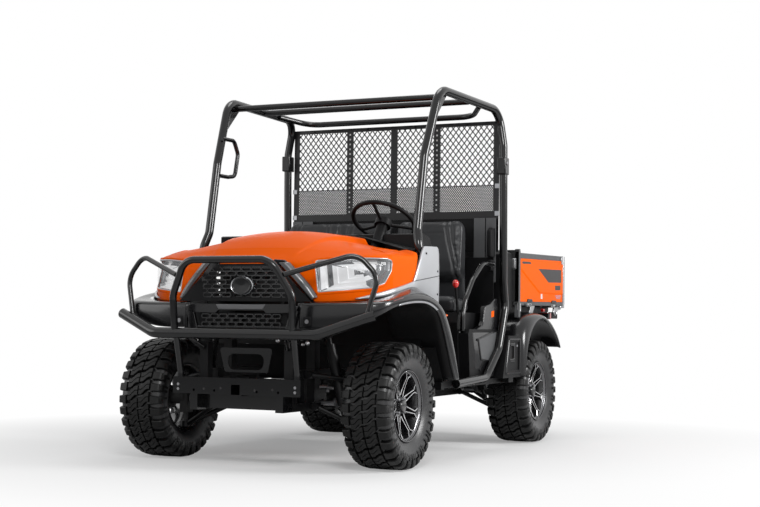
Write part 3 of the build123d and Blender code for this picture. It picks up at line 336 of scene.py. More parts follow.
def lugSet(x, radius, base, left, right, share, count, chamfer=0.0025):
    # count copies of a lug: stations across, edges in metres round the tyre, tops and feet as radii
    left, right, radius, base = (np.broadcast_to(v, x.shape) for v in (left, right, radius, base))
    flare = 0.003
    s = np.stack([left - flare, left, left + chamfer, right - chamfer, right, right + flare], -1)
    r = np.stack([base, radius - chamfer, radius, radius, radius - chamfer, base], -1)
    turn = 2 * np.pi * (np.arange(count) + share) / count
    rings = stack(x[None, :, None], turn[:, None, None] + (s / tyreRadius)[None], r[None])
    return rings.reshape(-1, 3), *sixSided(count, len(x), False)


def joined(sets):
    points, quads, ends, start = [], [], [], 0
    for p, q, e in sets:
        points.append(p)
        quads.append(q + start)
        ends.append(e + start)
        start += len(p)
    return np.concatenate(points), [np.concatenate(quads), np.concatenate(ends)]


def onWheel(points, row):
    outward = 1 if row[0] > 0 else -1
    x, angle, r = points[..., 0], points[..., 1], points[..., 2]
    return stack(row[0] + outward * x, frontAxle + row[1] + r * np.sin(angle * outward), tyreRadius + r * np.cos(angle))


lugs = []
for xLow, xHigh, share in ((0.004, 0.066, 0.0), (-0.066, -0.004, 0.5)):
    x = np.linspace(xLow, xHigh, 11)
    wave = 0.015 * (2 * smooth((x - xLow) / (xHigh - xLow) * 1.5 - 0.25) - 1)
    for near, far in ((-0.0258, -0.0011), (0.0011, 0.0258)):
        lugs.append(lugSet(x, treadTop(x), 0.304, wave + near, wave + far, share, tyrePitches, 0.0018))
for hand in (1, -1):
    t = np.linspace(0, 1, 9)
    x = hand * np.interp(t, [0, 0.5, 0.75, 0.9, 1], [0.077, 0.104, 0.119, 0.128, 0.1315])
    r = np.interp(t, [0, 0.5, 0.75, 0.9, 1], [0.3245, 0.3205, 0.316, 0.307, 0.2915])
    foot = np.interp(t, [0, 0.5, 0.8, 1], [0.304, 0.302, 0.292, 0.276])
    taper = np.interp(t, [0, 0.3, 1], [0.0, 0.003, 0.0045])
    order = np.argsort(x)
    for share, bias in ((0.25, 0.0), (0.75, 0.002)):
        lugs.append(lugSet(x[order], r[order], foot[order], (-0.0238 + taper)[order] + bias,
                           (0.0238 - taper)[order] + bias, share, tyrePitches // 2, 0.003))
    # sidewall hooks that join the lugs in pairs
    t = np.linspace(0, 1, 7)
    x = hand * np.interp(t, [0, 0.6, 1], [0.1235, 0.1318, 0.1318])
    r = np.interp(t, [0, 0.6, 1], [0.303, 0.287, 0.262])[::hand]
    for share, left, right in ((0.25, -0.018, -0.009), (0.25, 0.009, 0.018), (0.75, -0.016, -0.005)):
        lugs.append(lugSet(np.sort(x), r, r - 0.02, left, right, share, tyrePitches // 2, 0.0015))
lugPoints, lugFaces = joined(lugs)
carcass = np.array([(-0.094, 0.1785), (-0.1, 0.186), (-0.109, 0.196), (-0.1195, 0.222), (-0.1265, 0.252),
                    (-0.1275, 0.27), (-0.122, 0.287), (-0.108, 0.2995), (-0.085, 0.304), (0, 0.3055)])
carcass = np.concatenate([carcass, carcass[-2::-1] * (-1, 1)])
for wheelName, row in wheelRows.items():
    body = "wheel_" + wheelName
    turn = np.linspace(0, 2 * np.pi, 120, endpoint=False)
    shell = onWheel(stack(carcass[None, :, 0], turn[:, None], carcass[None, :, 1]), row)
    wall = recalc(solidFrom("tyreShell_" + wheelName, shell, [gridFaces(120, len(carcass), closeRows=True)],
                            wheelRubber["wall"], body, 60))
    recalc(solidFrom("tyreTread_" + wheelName, onWheel(lugPoints, row), lugFaces, wheelRubber["tread"], body, 30))
    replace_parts(wall, "tyre_" + wheelName)

print("rims")
lipSilver = material("lipSilver", (0.16, 0.16, 0.165), 0.25, metal=1.0, grain=0.05, grainScale=2500, slot="alloy")
rimSpec = {"pairs": 8, "barWidth": 0.0062, "barDepth": 0.016, "barLip": 0.0012, "nuts": 4, "nutCircle": 0.047}


def twoTone(piece, axis, level):
    # faces that look along the axis take the second material
    lit = meshPoints(piece.data, "polygons", "normal") @ np.asarray(axis, float) > level
    piece.data.polygons.foreach_set("material_index", lit.astype("i"))
    return piece


def meshPoints(mesh, kind="vertices", field="co"):
    out = np.empty(len(getattr(mesh, kind)) * 3, "f")
    getattr(mesh, kind).foreach_get(field, out)
    return out.reshape(-1, 3).astype(float)


def bars(paths, width, depth, lip):
    # each path (n, 3) in wheel terms (across, round offset, out): a flat bar, its face outboard
    along = np.gradient(paths, axis=1)
    side = unit(stack(np.zeros(paths.shape[:2]), -along[..., 2], along[..., 1]))
    edge = 0.5 - lip / width
    corners = [(-0.5, -depth), (-0.5, -lip), (-edge, 0), (edge, 0), (0.5, -lip), (0.5, -depth)]
    rings = np.stack([paths + side * (s * width) + np.array((1, 0, 0)) * d for s, d in corners], 2)
    return rings.reshape(-1, 3), sixSided(*paths.shape[:2], True)


def spoked(row, points):
    # wheel terms (across, sideways, up) to world, turning nothing
    outward = 1 if row[0] > 0 else -1
    return stack(row[0] + outward * points[..., 0], frontAxle + row[1] + points[..., 1] * outward,
                 tyreRadius + points[..., 2])


def around(points, count, offset=0.0):
    # copies of points turned about the axle
    turn = 2 * np.pi * (np.arange(count) + offset) / count
    y, z = points[..., 1], points[..., 2]
    shape = (count,) + (1,) * y.ndim
    c, s = np.cos(turn).reshape(shape), np.sin(turn).reshape(shape)
    return stack(np.broadcast_to(points[..., 0], (count,) + y.shape), y * c + z * s, z * c - y * s)


t = np.linspace(0, 1, 7)
single = []
for hand in (1, -1):
    single.append(stack(0.062 + 0.020 * t ** 1.5, hand * (0.0155 - 0.0085 * t), 0.052 + t * 0.094))
    single.append(stack(0.082 + 0.006 * t, hand * (0.007 + 0.021 * t), 0.146 + t * 0.0215))
barPaths = around(np.array(single), rimSpec["pairs"], 0.35).reshape(-1, 7, 3)
barPoints, barFaces = bars(barPaths, rimSpec["barWidth"], rimSpec["barDepth"], rimSpec["barLip"])
rimProfiles = {
    "rimLip": [(0.082, 0.1665), (0.089, 0.1668), (0.0915, 0.1695), (0.093, 0.1735), (0.0955, 0.1745),
               (0.0985, 0.1762), (0.1015, 0.1812), (0.1045, 0.1832), (0.1062, 0.1815), (0.1052, 0.178),
               (0.1, 0.1772), (0.094, 0.1782), (0.085, 0.1775), (0.078, 0.172), (0.078, 0.1668)],
    "rimBarrel": [(0.086, 0.1665), (0.06, 0.158), (0.02, 0.152), (-0.06, 0.156), (-0.09, 0.17), (-0.099, 0.1745),
                  (-0.104, 0.183), (-0.1, 0.184), (-0.096, 0.178), (-0.06, 0.162), (0.02, 0.158), (0.08, 0.1765)],
    "rimHub": [(0.004, 0.0005), (0.004, 0.03), (0.0081, 0.055), (0.0081, 0.066), (0.03, 0.0645), (0.046, 0.062),
               (0.052, 0.057), (0.05, 0.04), (0.055, 0.0345), (0.078, 0.0325), (0.0835, 0.029), (0.0855, 0.022),
               (0.086, 0.0005)],
    "nut": [(-0.01, 0.0005), (-0.01, 0.0105), (0.008, 0.0105), (0.011, 0.009), (0.022, 0.008), (0.0245, 0.006),
            (0.025, 0.0005)],
}
for wheelName, row in wheelRows.items():
    body, outward = "wheel_" + wheelName, 1 if row[0] > 0 else -1
    middle, axis = (row[0], frontAxle + row[1], tyreRadius), (outward, 0, 0)
    for key, look, sides, angle in (("rimLip", lipSilver, 96, 30), ("rimBarrel", rimBlack, 96, 40),
                                    ("rimHub", rimBlack, 48, 40)):
        rimPiece = recalc(turned("%s_%s" % (key, wheelName), rimProfiles[key], middle, axis, look, body, sides, angle,
                                 key != "rimHub"))
        if key == "rimLip":
            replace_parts(rimPiece, "rim_" + wheelName)
    spokes = solidFrom("rimSpokes_" + wheelName, spoked(row, barPoints), barFaces, [rimBlack, rimSilver], body, 25)
    recalc(twoTone(recalc(spokes), axis, 0.7))
    nuts, circle = rimSpec["nuts"], rimSpec["nutCircle"]
    for k, a in enumerate(2 * np.pi * (np.arange(nuts) + 0.5) / nuts):
        spot = np.array(middle) + (outward * 0.05, circle * math.sin(a), circle * math.cos(a))
        name = "wheelNut%d_%s" % (k, wheelName)
        recalc(turned(name, rimProfiles["nut"], spot, axis, steel, body, 6, 30, slot="alloy"))

print("hood")
bodySpec = {
    "stations": (-420, -345, -150, 60, 270, 480),         # from the front axle, mm
    "side": (960, 1000, 1078, 1110, 1122, 1126),          # heights at the sides
    "crease": (985, 1030, 1148, 1192, 1208, 1216),
    "middle": (995, 1038, 1165, 1220, 1235, 1242),
    "crownRise": 5, "crownDrop": 24, "edgeRound": 26, "band": 130,
}


def arcThrough(a, b, c, count):
    # points on the circle through three points in a plane, from a to c
    a, b, c = (complex(*p) for p in (a, b, c))
    w = (c - a) / (b - a)
    centre = a + (b - a) * (w - abs(w) ** 2) / (2j * w.imag)
    ends = [np.angle((p - centre) / (a - centre)) for p in (b, c)]
    same = ends[0] * ends[1] > 0 and abs(ends[1]) > abs(ends[0])
    sweep = ends[1] if same else ends[1] - math.copysign(2 * np.pi, ends[1])
    z = centre + (a - centre) * np.exp(1j * sweep * np.linspace(0, 1, count))
    return np.stack([z.real, z.imag], -1)


noseArc = arcThrough((0, -352), (200, -345), (392, -322), 60)
cheekArc = arcThrough((392, -322), (618, -214), (700, -60), 60)
halfPlan = np.concatenate([noseArc, cheekArc[1:], [(702, 60), (704, 200), (704, 460)]])
planRun = runAlong(halfPlan)
heightFits = {k: np.polyfit(bodySpec["stations"], bodySpec[k], 4) for k in ("side", "crease", "middle")}


def crownEdge(y):
    return np.interp(y, [-349, -255, -170, 50, 290, 440], [195, 232, 262, 296, 322, 334])


def hoodTop(x, y, dressed=True):
    # cross sections of an arc inside 300 and a straight flank, heights as quartics of the station
    side, crease, middle = (np.polyval(heightFits[k], y) for k in ("side", "crease", "middle"))
    out = np.abs(x)
    z = np.where(out < 300, middle - (middle - crease) * (out / 300) ** 2, crease - (crease - side) * (out - 300) / 420)
    if dressed:
        beyond = smooth((out - crownEdge(y)) / 34)
        z = (z + bodySpec["crownRise"] * (1 - beyond) * smooth((y + 345) / 60)
             - bodySpec["crownDrop"] * beyond * smooth((y + 170) / 420))
        z = z + 6 * np.exp(-((out - 590) / 70) ** 2) * smooth((y + 200) / 200)
    return z


def planPoint(s):
    # a point of the hood's plan and the way inwards, at a run s from the middle
    along = lambda run, k: np.interp(run, planRun, halfPlan[:, k])
    run, step = np.abs(s), 4.0
    tx, ty = (along(run + step, k) - along(np.maximum(run - step, 0), k) for k in (0, 1))
    size = np.hypot(tx, ty)
    sign = np.where(s < 0, -1.0, 1.0)
    return sign * along(run, 0), along(run, 1), -sign * ty / size, tx / size


def hoodSkin(s, z, out=0.0):
    # the front and sides: up the plan's wall, then leaning back over the rounded edge to the top
    x, y, nx, ny = planPoint(s)
    band = bodySpec["band"]
    low = hoodTop(x, y, False)
    high = hoodTop(x + nx * band, y + ny * band, False)
    climb = np.maximum(high - low, 12) / band
    back = (z - low) / climb
    lean = 0.5 * (back + np.sqrt(back ** 2 + bodySpec["edgeRound"] ** 2 / np.maximum(climb, 0.2)))
    lean = np.where(z < low - 60, np.minimum(lean, 0.5 * (back + np.sqrt(back ** 2 + 2600))), lean)
    return stack(x + nx * (lean - out), y + ny * (lean - out), z)


def bottomEdge(s):
    x, y, _, _ = planPoint(s)
    out = np.abs(x)
    front = np.interp(out, [0, 190, 392, 520, 618, 640], [1042, 1042, 846, 851, 858, 862])
    flank = np.interp(y, [-205, -61, 190, 276, 300], [862, 903, 955, 1142, 1200])
    return np.where(out < 640, front, flank)


def rearEdge(x, aim):
    # the station where the hood's top meets the slanting line of its rear edge
    y = np.full_like(x, 380.0)
    for _ in range(12):
        y = np.interp(hoodTop(x, y, False), [1142, 1214, 1240], [276, 400, 445])
    return y - aim


arcsEnd = len(noseArc) + len(cheekArc) - 1
frontRun = planRun[arcsEnd - 1]         # where the plan turns straight back
noseColumns = np.linspace(frontRun, -frontRun, 261)
band = bodySpec["band"]
cx, cy, nx, ny = planPoint(noseColumns)
innerX, innerY = cx + nx * band, cy + ny * band
backY = rearEdge(innerX, 4.0)
topY = innerY[None] + (backY - innerY)[None] * (np.linspace(0, 1, 64) ** 1.15)[:, None]
topX = np.broadcast_to(innerX, topY.shape)
topZ = hoodTop(topX, topY)
sideRuns = frontRun + (topY[1:, 0] - innerY[0])
allRuns = np.concatenate([sideRuns[::-1], noseColumns, -sideRuns])
allX, allY, inX, inY = planPoint(allRuns)
edgeX, edgeY = allX + inX * band, allY + inY * band
highZ = hoodTop(edgeX, edgeY)
lowZ = np.minimum(bottomEdge(allRuns), highZ - 14)
rowShare = np.linspace(0, 1, 46)
skinZ = lowZ[None] + (hoodTop(edgeX, edgeY, False) - lowZ)[None] * rowShare[:, None]
skin = hoodSkin(np.broadcast_to(allRuns, skinZ.shape), skinZ)
fade = smooth((rowShare - 0.55) / 0.45)[:, None]
skin[..., 2] += fade * (hoodTop(skin[..., 0], skin[..., 1]) - hoodTop(skin[..., 0], skin[..., 1], False))
skin[-1] = stack(edgeX, edgeY, highZ)
skin[-2] = (skin[-1] + skin[-3]) / 2


def insidePolygon(u, v, poly):
    # even-odd rule for arrays of points
    a, b = poly, np.roll(poly, -1, 0)
    hit = (a[:, 1] > v[..., None]) != (b[:, 1] > v[..., None])
    cross = (b[:, 0] - a[:, 0]) * (v[..., None] - a[:, 1]) / (b[:, 1] - a[:, 1] + 1e-9) + a[:, 0]
    return (np.sum(hit & (u[..., None] < cross), -1) % 2).astype(bool)


def runOf(x):
    return float(np.interp(x, halfPlan[:arcsEnd, 0], planRun[:arcsEnd]))


lampOutline = closedRound([(runOf(374), 1062), (runOf(398), 886), (runOf(640), 912), (runOf(683), 940),
                           (runOf(699.4), 1010), (runOf(699.8) + 8, 1066), (runOf(690), 1080), (runOf(560), 1076)], 16)
cellRun = (allRuns[:-1] + allRuns[1:]) / 2
cellZ = (skinZ[:-1, :-1] + skinZ[1:, 1:]) / 2
inLamp = insidePolygon(np.abs(np.broadcast_to(cellRun, cellZ.shape)), cellZ, lampOutline).reshape(-1)
hoodPoints = np.concatenate([skin.reshape(-1, 3), stack(topX, topY, topZ).reshape(-1, 3)])
hoodQuads = [gridFaces(*skinZ.shape)[~inLamp], gridFaces(*topY.shape, flip=True, start=skinZ.size)]
hoodPiece = solidFrom("hoodShell", metres(hoodPoints), hoodQuads, orange, "hood", 50)
work = bmesh.new()
work.from_mesh(hoodPiece.data)
bmesh.ops.remove_doubles(work, verts=work.verts, dist=0.0004)
bmesh.ops.recalc_face_normals(work, faces=work.faces)
if sum(f.normal.z for f in work.faces) < 0:
    bmesh.ops.reverse_faces(work, faces=work.faces)
work.to_mesh(hoodPiece.data)
work.free()
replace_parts(walled(hoodPiece, 0.003), "hood")


def bead(name, outline, out, radius, look, hand, flat):
    # a closed strip along an outline of (run, height) on the hood's skin
    ring = np.concatenate([outline, outline[:1]])
    far = runAlong(ring)
    even = np.linspace(0, far[-1], 221)[:-1]
    s, z = np.interp(even, far, ring[:, 0]), np.interp(even, far, ring[:, 1])
    path = hoodSkin(s * hand, z, out)
    ahead = unit(np.roll(path, -1, 0) - np.roll(path, 1, 0))
    face = hoodSkin(s * hand, z, out + 5) - path
    face = unit(face - ahead * np.sum(face * ahead, 1, keepdims=True))
    side = np.cross(ahead, face)
    turn = np.linspace(0, 2 * np.pi, 12, endpoint=False)[None, :, None]
    rings = path[:, None] + radius * (np.cos(turn) * side[:, None] + flat * np.sin(turn) * face[:, None])
    quads = [gridFaces(220, 12, closeRows=True, closeCols=True)]
    return recalc(solidFrom(name, metres(rings), quads, look, "hood", 60))


def inset(outline, amount):
    # the outline drawn in towards its middle
    outline = np.asarray(outline, float)
    ahead = unit(np.roll(outline, -1, 0) - np.roll(outline, 1, 0))
    turn = np.sign(np.sum(outline[:, 0] * np.roll(outline[:, 1], -1) - np.roll(outline[:, 0], -1) * outline[:, 1]))
    return outline + turn * amount * np.stack([-ahead[:, 1], ahead[:, 0]], -1)


def patch(name, outline, depth, look, hand, rings=14, angle=40):
    # a sheet inside an outline, ring by ring to its middle; depth(share, run, height) sinks it below the skin
    middle = outline.mean(0)
    share = np.linspace(1, 0.004, rings)[:, None, None]
    flat = middle + (outline - middle)[None] * share
    s, z = flat[..., 0], flat[..., 1]
    points = hoodSkin(s * hand, z, -depth(np.broadcast_to(share[..., 0], s.shape), s, z))
    quads = [gridFaces(rings, len(outline), closeCols=True)]
    return recalc(solidFrom(name, metres(points), quads, look, "hood", angle))


print("lamps")
clearLens = material("clearLens", (0.95, 0.97, 1.0), 0.03, coat=1.0, coatRough=0.02, alpha=0.16, specular=0.6,
                     slot="lamp_glass")
lampLooks = [
    material("lampChrome", (0.22, 0.225, 0.235), 0.18, metal=1.0, slot="lamp_glass"),
    material("lampGlow", (0.55, 0.56, 0.58), 0.3, emit=(1.0, 0.99, 0.97, 0.32)),
    material("lampDark", (0.03, 0.032, 0.035), 0.25, coat=0.5),
]
gasket = material("lampGasket", (0.32, 0.33, 0.34), 0.3, metal=0.6, coat=0.3, slot="lamp_glass")
trayOutline = inset(lampOutline, 10)
(s0, z0), (s1, z1) = trayOutline.min(0), trayOutline.max(0)


def bowl(share, s, z):
    # a deep tray with slanting steps across it
    slant = ((s - s0) / (s1 - s0) * 5 + (z - z0) / (z1 - z0) * 2.2) % 1.0
    return 8 + 44 * smooth((1 - share) / 0.22) - 14 * slant * smooth((1 - share) / 0.3)


for side, hand in hands:
    bead("lampFrame_" + side, inset(lampOutline, 1), -1, 8, orange, hand, 0.55)
    bead("lampGasket_" + side, inset(lampOutline, 8), -2, 4.5, gasket, hand, 0.8)
    patch("lampLens_" + side, inset(lampOutline, 8), lambda share, s, z: 3 - 6 * (1 - share ** 2), clearLens, hand)
    tray = patch("lampTray_" + side, trayOutline, bowl, lampLooks, hand, 40, 20)
    spots = meshPoints(tray.data, "polygons", "center") * 1000 - (0, frontAxle * 1000, 0)
    u = np.clip((np.abs(spots[:, 0]) - 385) / 300, 0, 1)
    v = (spots[:, 2] - z0) / (z1 - z0)
    lit = ((u - 0.40) / 0.34) ** 2 + ((v - 0.40) / 0.40) ** 2 < 1
    lit |= (np.abs(u - 0.62) < 0.2) & (np.abs(v - 0.78) < 0.13)
    dark = (u < 0.24) & (v > 0.45) & (u + v > 0.62)
    dark |= (np.abs(v - (0.92 - 0.55 * u)) < 0.035) | (u > 0.82) & ((u * 30) % 2 < 1)
    tray.data.polygons.foreach_set("material_index", np.where(dark, 2, np.where(lit, 1, 0)).astype("i"))
    if side == "left":
        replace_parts(tray, "headlamps")

print("fenders")


def spline(points, count):
    # a smooth line through points, by the square roots of its chords (a natural cubic in each coordinate)
    points = np.asarray(points, float)
    n = len(points)
    run = np.concatenate([[0], np.cumsum(np.linalg.norm(np.diff(points, axis=0), axis=1) ** 0.5)])
    h = np.diff(run)
    a = np.eye(n)
    b = np.zeros((n, points.shape[1]))
    for k in range(1, n - 1):
        a[k, k - 1:k + 2] = h[k - 1], 2 * (h[k - 1] + h[k]), h[k]
        b[k] = 6 * ((points[k + 1] - points[k]) / h[k] - (points[k] - points[k - 1]) / h[k - 1])
    m = np.linalg.solve(a, b)
    t = np.linspace(0, run[-1], count)
    k = np.clip(np.searchsorted(run, t, "right") - 1, 0, n - 2)
    u, v, w = (t - run[k])[:, None], (run[k + 1] - t)[:, None], h[k][:, None]
    return ((m[k] * v ** 3 + m[k + 1] * u ** 3) / (6 * w) + (points[k] / w - m[k] * w / 6) * v
            + (points[k + 1] / w - m[k + 1] * w / 6) * u)


def corner(a, b, c, reach, steps=6):
    # from a to c past a rounded corner at b, as rows
    t = np.linspace(0, 1, steps)[:, None, None]
    p, q = (b + (end - b) * np.minimum(0.45, reach / np.linalg.norm(end - b, axis=1, keepdims=True)) for end in (a, c))
    return (1 - t) ** 2 * p + 2 * t * (1 - t) * b + t ** 2 * q


def swept(name, rows, look, hand, thickness=0.003, angle=40, slot=None):
    # lines of n points, or blocks of such lines, in millimetres: a sheet through them
    rows = np.concatenate([np.asarray(r, float).reshape(-1, rows[0].shape[-2], 3) for r in rows]) * (hand, 1, 1)
    piece = recalc(solidFrom(name, metres(rows), [gridFaces(*rows.shape[:2])], look, angle=angle, slot=slot))
    return walled(piece, thickness, 0)


fenderLines = {
    "shoulder": [(330, -372, 838), (450, -366, 840), (560, -349, 842), (672, -322, 845), (736, -283, 850),
                 (766, -228, 858), (780, -150, 874), (786, -60, 888), (788, 45, 896), (788, 160, 894), (788, 284, 876),
                 (788, 370, 846), (788, 440, 800), (788, 520, 706), (788, 590, 575), (788, 645, 440)],
    "foot": [(330, -372, 712), (450, -366, 712), (560, -349, 722), (672, -322, 752), (736, -283, 786),
             (764, -228, 814), (776, -176, 830), (784, -110, 841), (787, -10, 850), (788, 80, 853), (788, 170, 850),
             (788, 262, 832), (788, 350, 790), (788, 440, 672), (788, 520, 540), (788, 585, 440)],
    "seat": [(330, -328, 850), (450, -306, 848), (560, -262, 850), (618, -216, 858), (656, -168, 868),
             (684, -110, 884), (700, -50, 902), (705, 45, 922), (706, 140, 938), (710, 230, 930), (712, 330, 888),
             (712, 410, 846), (712, 480, 760), (712, 560, 600), (712, 610, 440)],
}
shoulder, foot, seat = (spline(fenderLines[key], 150) for key in ("shoulder", "foot", "seat"))
reflectorRed = material("reflectorRed", (0.16, 0.006, 0.006), 0.15, coat=1.0, grain=0.3, grainScale=1500,
                        slot="lamp_red")
reflectorPale = material("reflectorPale", (0.34, 0.35, 0.36), 0.15, coat=1.0, grain=0.3, grainScale=1500,
                         slot="lamp_glass")
cowlSilver = material("cowlSilver", (0.5, 0.51, 0.53), 0.34, metal=0.6, coat=0.3, grain=0.35, grainScale=700,
                      blotch=0.06, blotchScale=8, slot="silver_paint")


def onFender(y0, y1, w0, w1, out):
    # a strip of the fender's face between two stations, from share w0 to w1 of the way from foot to shoulder
    k0, k1 = (int(np.argmin(np.abs(shoulder[:, 1] - y) + 400 * (shoulder[:, 0] < 500))) for y in (y0, y1))
    return [foot[k0:k1] + (shoulder - foot)[k0:k1] * w + out for w in np.linspace(w0, w1, 4)]


lip = foot + (seat - shoulder) * 0.12 + (0, 0, 4)
belly = (shoulder + foot) / 2 + (shoulder - seat) * (0.05, 0.05, 0)
fenderRows = [lip, corner(lip, foot, belly, 7), belly, corner(belly, shoulder, seat, 34, 9),
              shoulder * 0.35 + seat * 0.65, seat]
archRows = np.linspace(0, 1, 8)[:, None, None] * ((lip * (0, 1, 1) + (470, 0, 0)) - lip) + lip + (0, 0, 3)
cowlY = np.concatenate([np.linspace(-250, 174, 36), np.linspace(190, 512, 26)])
cowlTop = np.interp(cowlY, [-250, -200, -79, 60, 174, 196, 312, 490, 512],
                    [868, 886, 919, 942, 964, 988, 1157, 1163, 1150])
cowlLow = np.interp(cowlY, [-250, -198, -60, 83, 180, 271, 400, 459, 512],
                    [864, 868, 894, 909, 908, 893, 850, 826, 815])
cowlX = np.interp(cowlY, cheekArc[:, 1], cheekArc[:, 0]) + 14
cowlRows = [stack(cowlX - sink, cowlY, cowlLow + (cowlTop - cowlLow) * w) for w, sink in
            ((0, 16), (0, 3), (0.08, 0), (0.35, -2), (0.65, -2), (0.92, 0), (1, 3), (1, 12))]
for side, hand in hands:
    fender = swept("fenderSkin_" + side, fenderRows, gloss, hand, 0.004, 60)
    swept("fenderLiner_" + side, [archRows[:, 60:]], panelBlack, hand)
    # a silver band along the lower fender face by the arch: painted highlight where the fender's flare edge catches the
    # light
    swept("archHighlightStrip_" + side, onFender(-120, 400, -0.05, 0.36, (2.6, 0, 1)), silver, hand, 0.002)
    swept("reflectorRed_" + side, onFender(-205, -105, 0.42, 0.86, (2.2, -1, 2)), reflectorRed, hand)
    swept("reflectorPale_" + side, onFender(-262, -222, 0.30, 0.86, (2.5, -3, 1)), reflectorPale, hand)
    # silver cowl: one sheet from under the hood's lower edge back to the door opening
    cowl = swept("cowlPanel_" + side, cowlRows, cowlSilver, hand, 0.002, 50)
    if side == "left":
        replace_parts(fender, "front_fenders", "front_fascia")
        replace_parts(cowl, "cowl_sides")
    seam = [(718.5 * hand, 176, 968), (718.5 * hand, 340, 986), (718.5 * hand, 512, 1006)]
    tube("cowlSeam_" + side, seam, 0.0016, panelBlack, 0.05, 8, (0, 0, 1))
    for k, (y, z) in enumerate(((488, 1030), (488, 905), (330, 1120))):
        pin("cowlPin%d_%s" % (k, side), [(0.006, 0.0001), (0.006, 0.004), (0.003, 0.006), (-0.004, 0.006)],
            (hand * 714, y, z), (hand, 0, 0), panelBlack, 16)

print("front panel")
# gray with some metal and coat; on the side trims beside the grille this gray is a painted highlight on glossy black
trimGray = material("trimGray", (0.10, 0.10, 0.105), 0.3, metal=0.3, coat=0.4, coatRough=0.15, grain=0.1,
                    grainScale=800, blotch=0.1, slot="gloss_black")
bow = 22      # how far the grille bends back at 380 from the middle, by the square of the distance


def ringSolid(name, rows, look, slot=None):
    # a closed band through four outlines of the same count
    rows = np.array(rows)
    quads = [gridFaces(4, rows.shape[1], closeRows=True, closeCols=True)]
    return recalc(solidFrom(name, metres(rows), quads, look, angle=30, slot=slot))


chassisTrim = closedRound([(-374, 852), (374, 852), (196, 1038), (-196, 1038)], 22, 8)
innerTrim = inset(chassisTrim, 24)
bevelled(ringSolid("grilleFrame", [stack(ring[:, 0], -352 + 26 * (ring[:, 0] / 380) ** 2 - out, ring[:, 1])
                                   for ring, out in ((chassisTrim, 0), (chassisTrim, 22), (innerTrim, 22),
                                                     (innerTrim, 0))], gloss), 0.003)
# side trims between the grille and the paint; their shape is real, and their gray is a painted highlight along a glossy
# black piece
trimOuter = spline([(205, -358, 1044), (262, -352, 990), (322, -344, 926), (382, -333, 858)], 40) + (0, -6, 0)
trimInner = spline([(246, -350, 1046), (302, -341, 992), (360, -330, 930), (400, -322, 872)], 40) + (4, -3, 0)
trimMiddle = (trimOuter + trimInner) / 2 + (0, -9, 0)
trimRows = [trimOuter + (0, 20, 0), trimOuter, (trimOuter + trimMiddle) / 2 + (0, -3, 0), trimMiddle,
            (trimInner + trimMiddle) / 2 + (0, -3, 0), trimInner, trimInner + (0, 20, 0)]
for side, hand in hands:
    swept("sideTrim_" + side, trimRows, trimGray, hand, 0.003, 50)
    capOutline = np.array([(150, 1042), (176, 1062), (232, 1058), (250, 1040), (214, 1030)]) * (hand, 1)
    frontPlate("capBlock_" + side, capOutline, -338, 22, gloss)


def cells(name, places, width, height, wall, y, depth, bow):
    # raised rims of six-sided cells, one shape copied over the places
    places = np.asarray(places, float)
    w, h = width / 2, height / 2
    reach = w - height * 0.35
    outline = np.array([(-w, 0), (-reach, h), (reach, h), (w, 0), (reach, -h), (-reach, -h)])
    innerLine = outline * ((width - 2.2 * wall) / width, (height - 2 * wall) / height)
    rings = np.stack([outline, outline, innerLine, innerLine])
    out = np.array([0, depth, depth, 0.0])[:, None]
    x = places[:, None, None, 0] + rings[None, ..., 0]
    z = places[:, None, None, 1] + rings[None, ..., 1]
    points = stack(x, y + bow * (x / 380) ** 2 - out[None], z)
    quads = copied(gridFaces(4, 6, closeRows=True, closeCols=True), len(places), 24)
    return recalc(solidFrom(name, metres(points), [quads], grilleBlack, angle=20))


grilleBlack = material("grilleBlack", (0.012, 0.012, 0.013), 0.28, coat=0.5, coatRough=0.1, slot="gloss_black")
upperCells = [(x, z) for row, z in enumerate(range(880, 1031, 22)) for x in np.arange(-330 + (row % 2) * 29, 331, 58)
              if abs(x) < 352 - (z - 848) * 1.02 and (x / 84) ** 2 + ((z - 927) / 62) ** 2 > 1]
cells("grilleCells", upperCells, 60, 24, 3.4, -362, 9, bow)
lowerCells = [(x, z) for row, z in enumerate((730, 751, 772)) for x in np.arange(-212 + (row % 2) * 26, 213, 52)]
cells("lowerCells", lowerCells, 54, 23, 3.2, -374, 8, 0.0)
# the plain oval badge: two turned pieces, flattened to 0.74 of their height
badgeHeight = 0.927
badgeSilver = material("badgeSilver", (0.6, 0.61, 0.63), 0.25, metal=1.0, grain=0.05, slot="gloss_black")
badgeProfiles = {
    "badgeRim": [(0, 0.0001), (0.004, 0.052), (0.009, 0.056), (0.013, 0.0625), (0.009, 0.066), (-0.014, 0.07),
                 (-0.014, 0.0001)],
    "badgeOval": [(0, 0.0001), (0.002, 0.046), (0.0055, 0.05), (0.006, 0.054), (0.002, 0.0575), (-0.006, 0.058)],
}
for name, ahead, look, slot in (("badgeRim", 0.372, badgeSilver, None), ("badgeOval", 0.3835, gloss, "silver_paint")):
    place = (0, frontAxle - ahead, badgeHeight)
    piece = turned(name, badgeProfiles[name], place, (0, -1, 0), look, sides=48, slot=slot)
    spots = np.empty(len(piece.data.vertices) * 3, "f")
    piece.data.vertices.foreach_get("co", spots)
    spots = spots.reshape(-1, 3)
    spots[:, 2] = badgeHeight + (spots[:, 2] - badgeHeight) * 0.74
    piece.data.vertices.foreach_set("co", spots.reshape(-1))
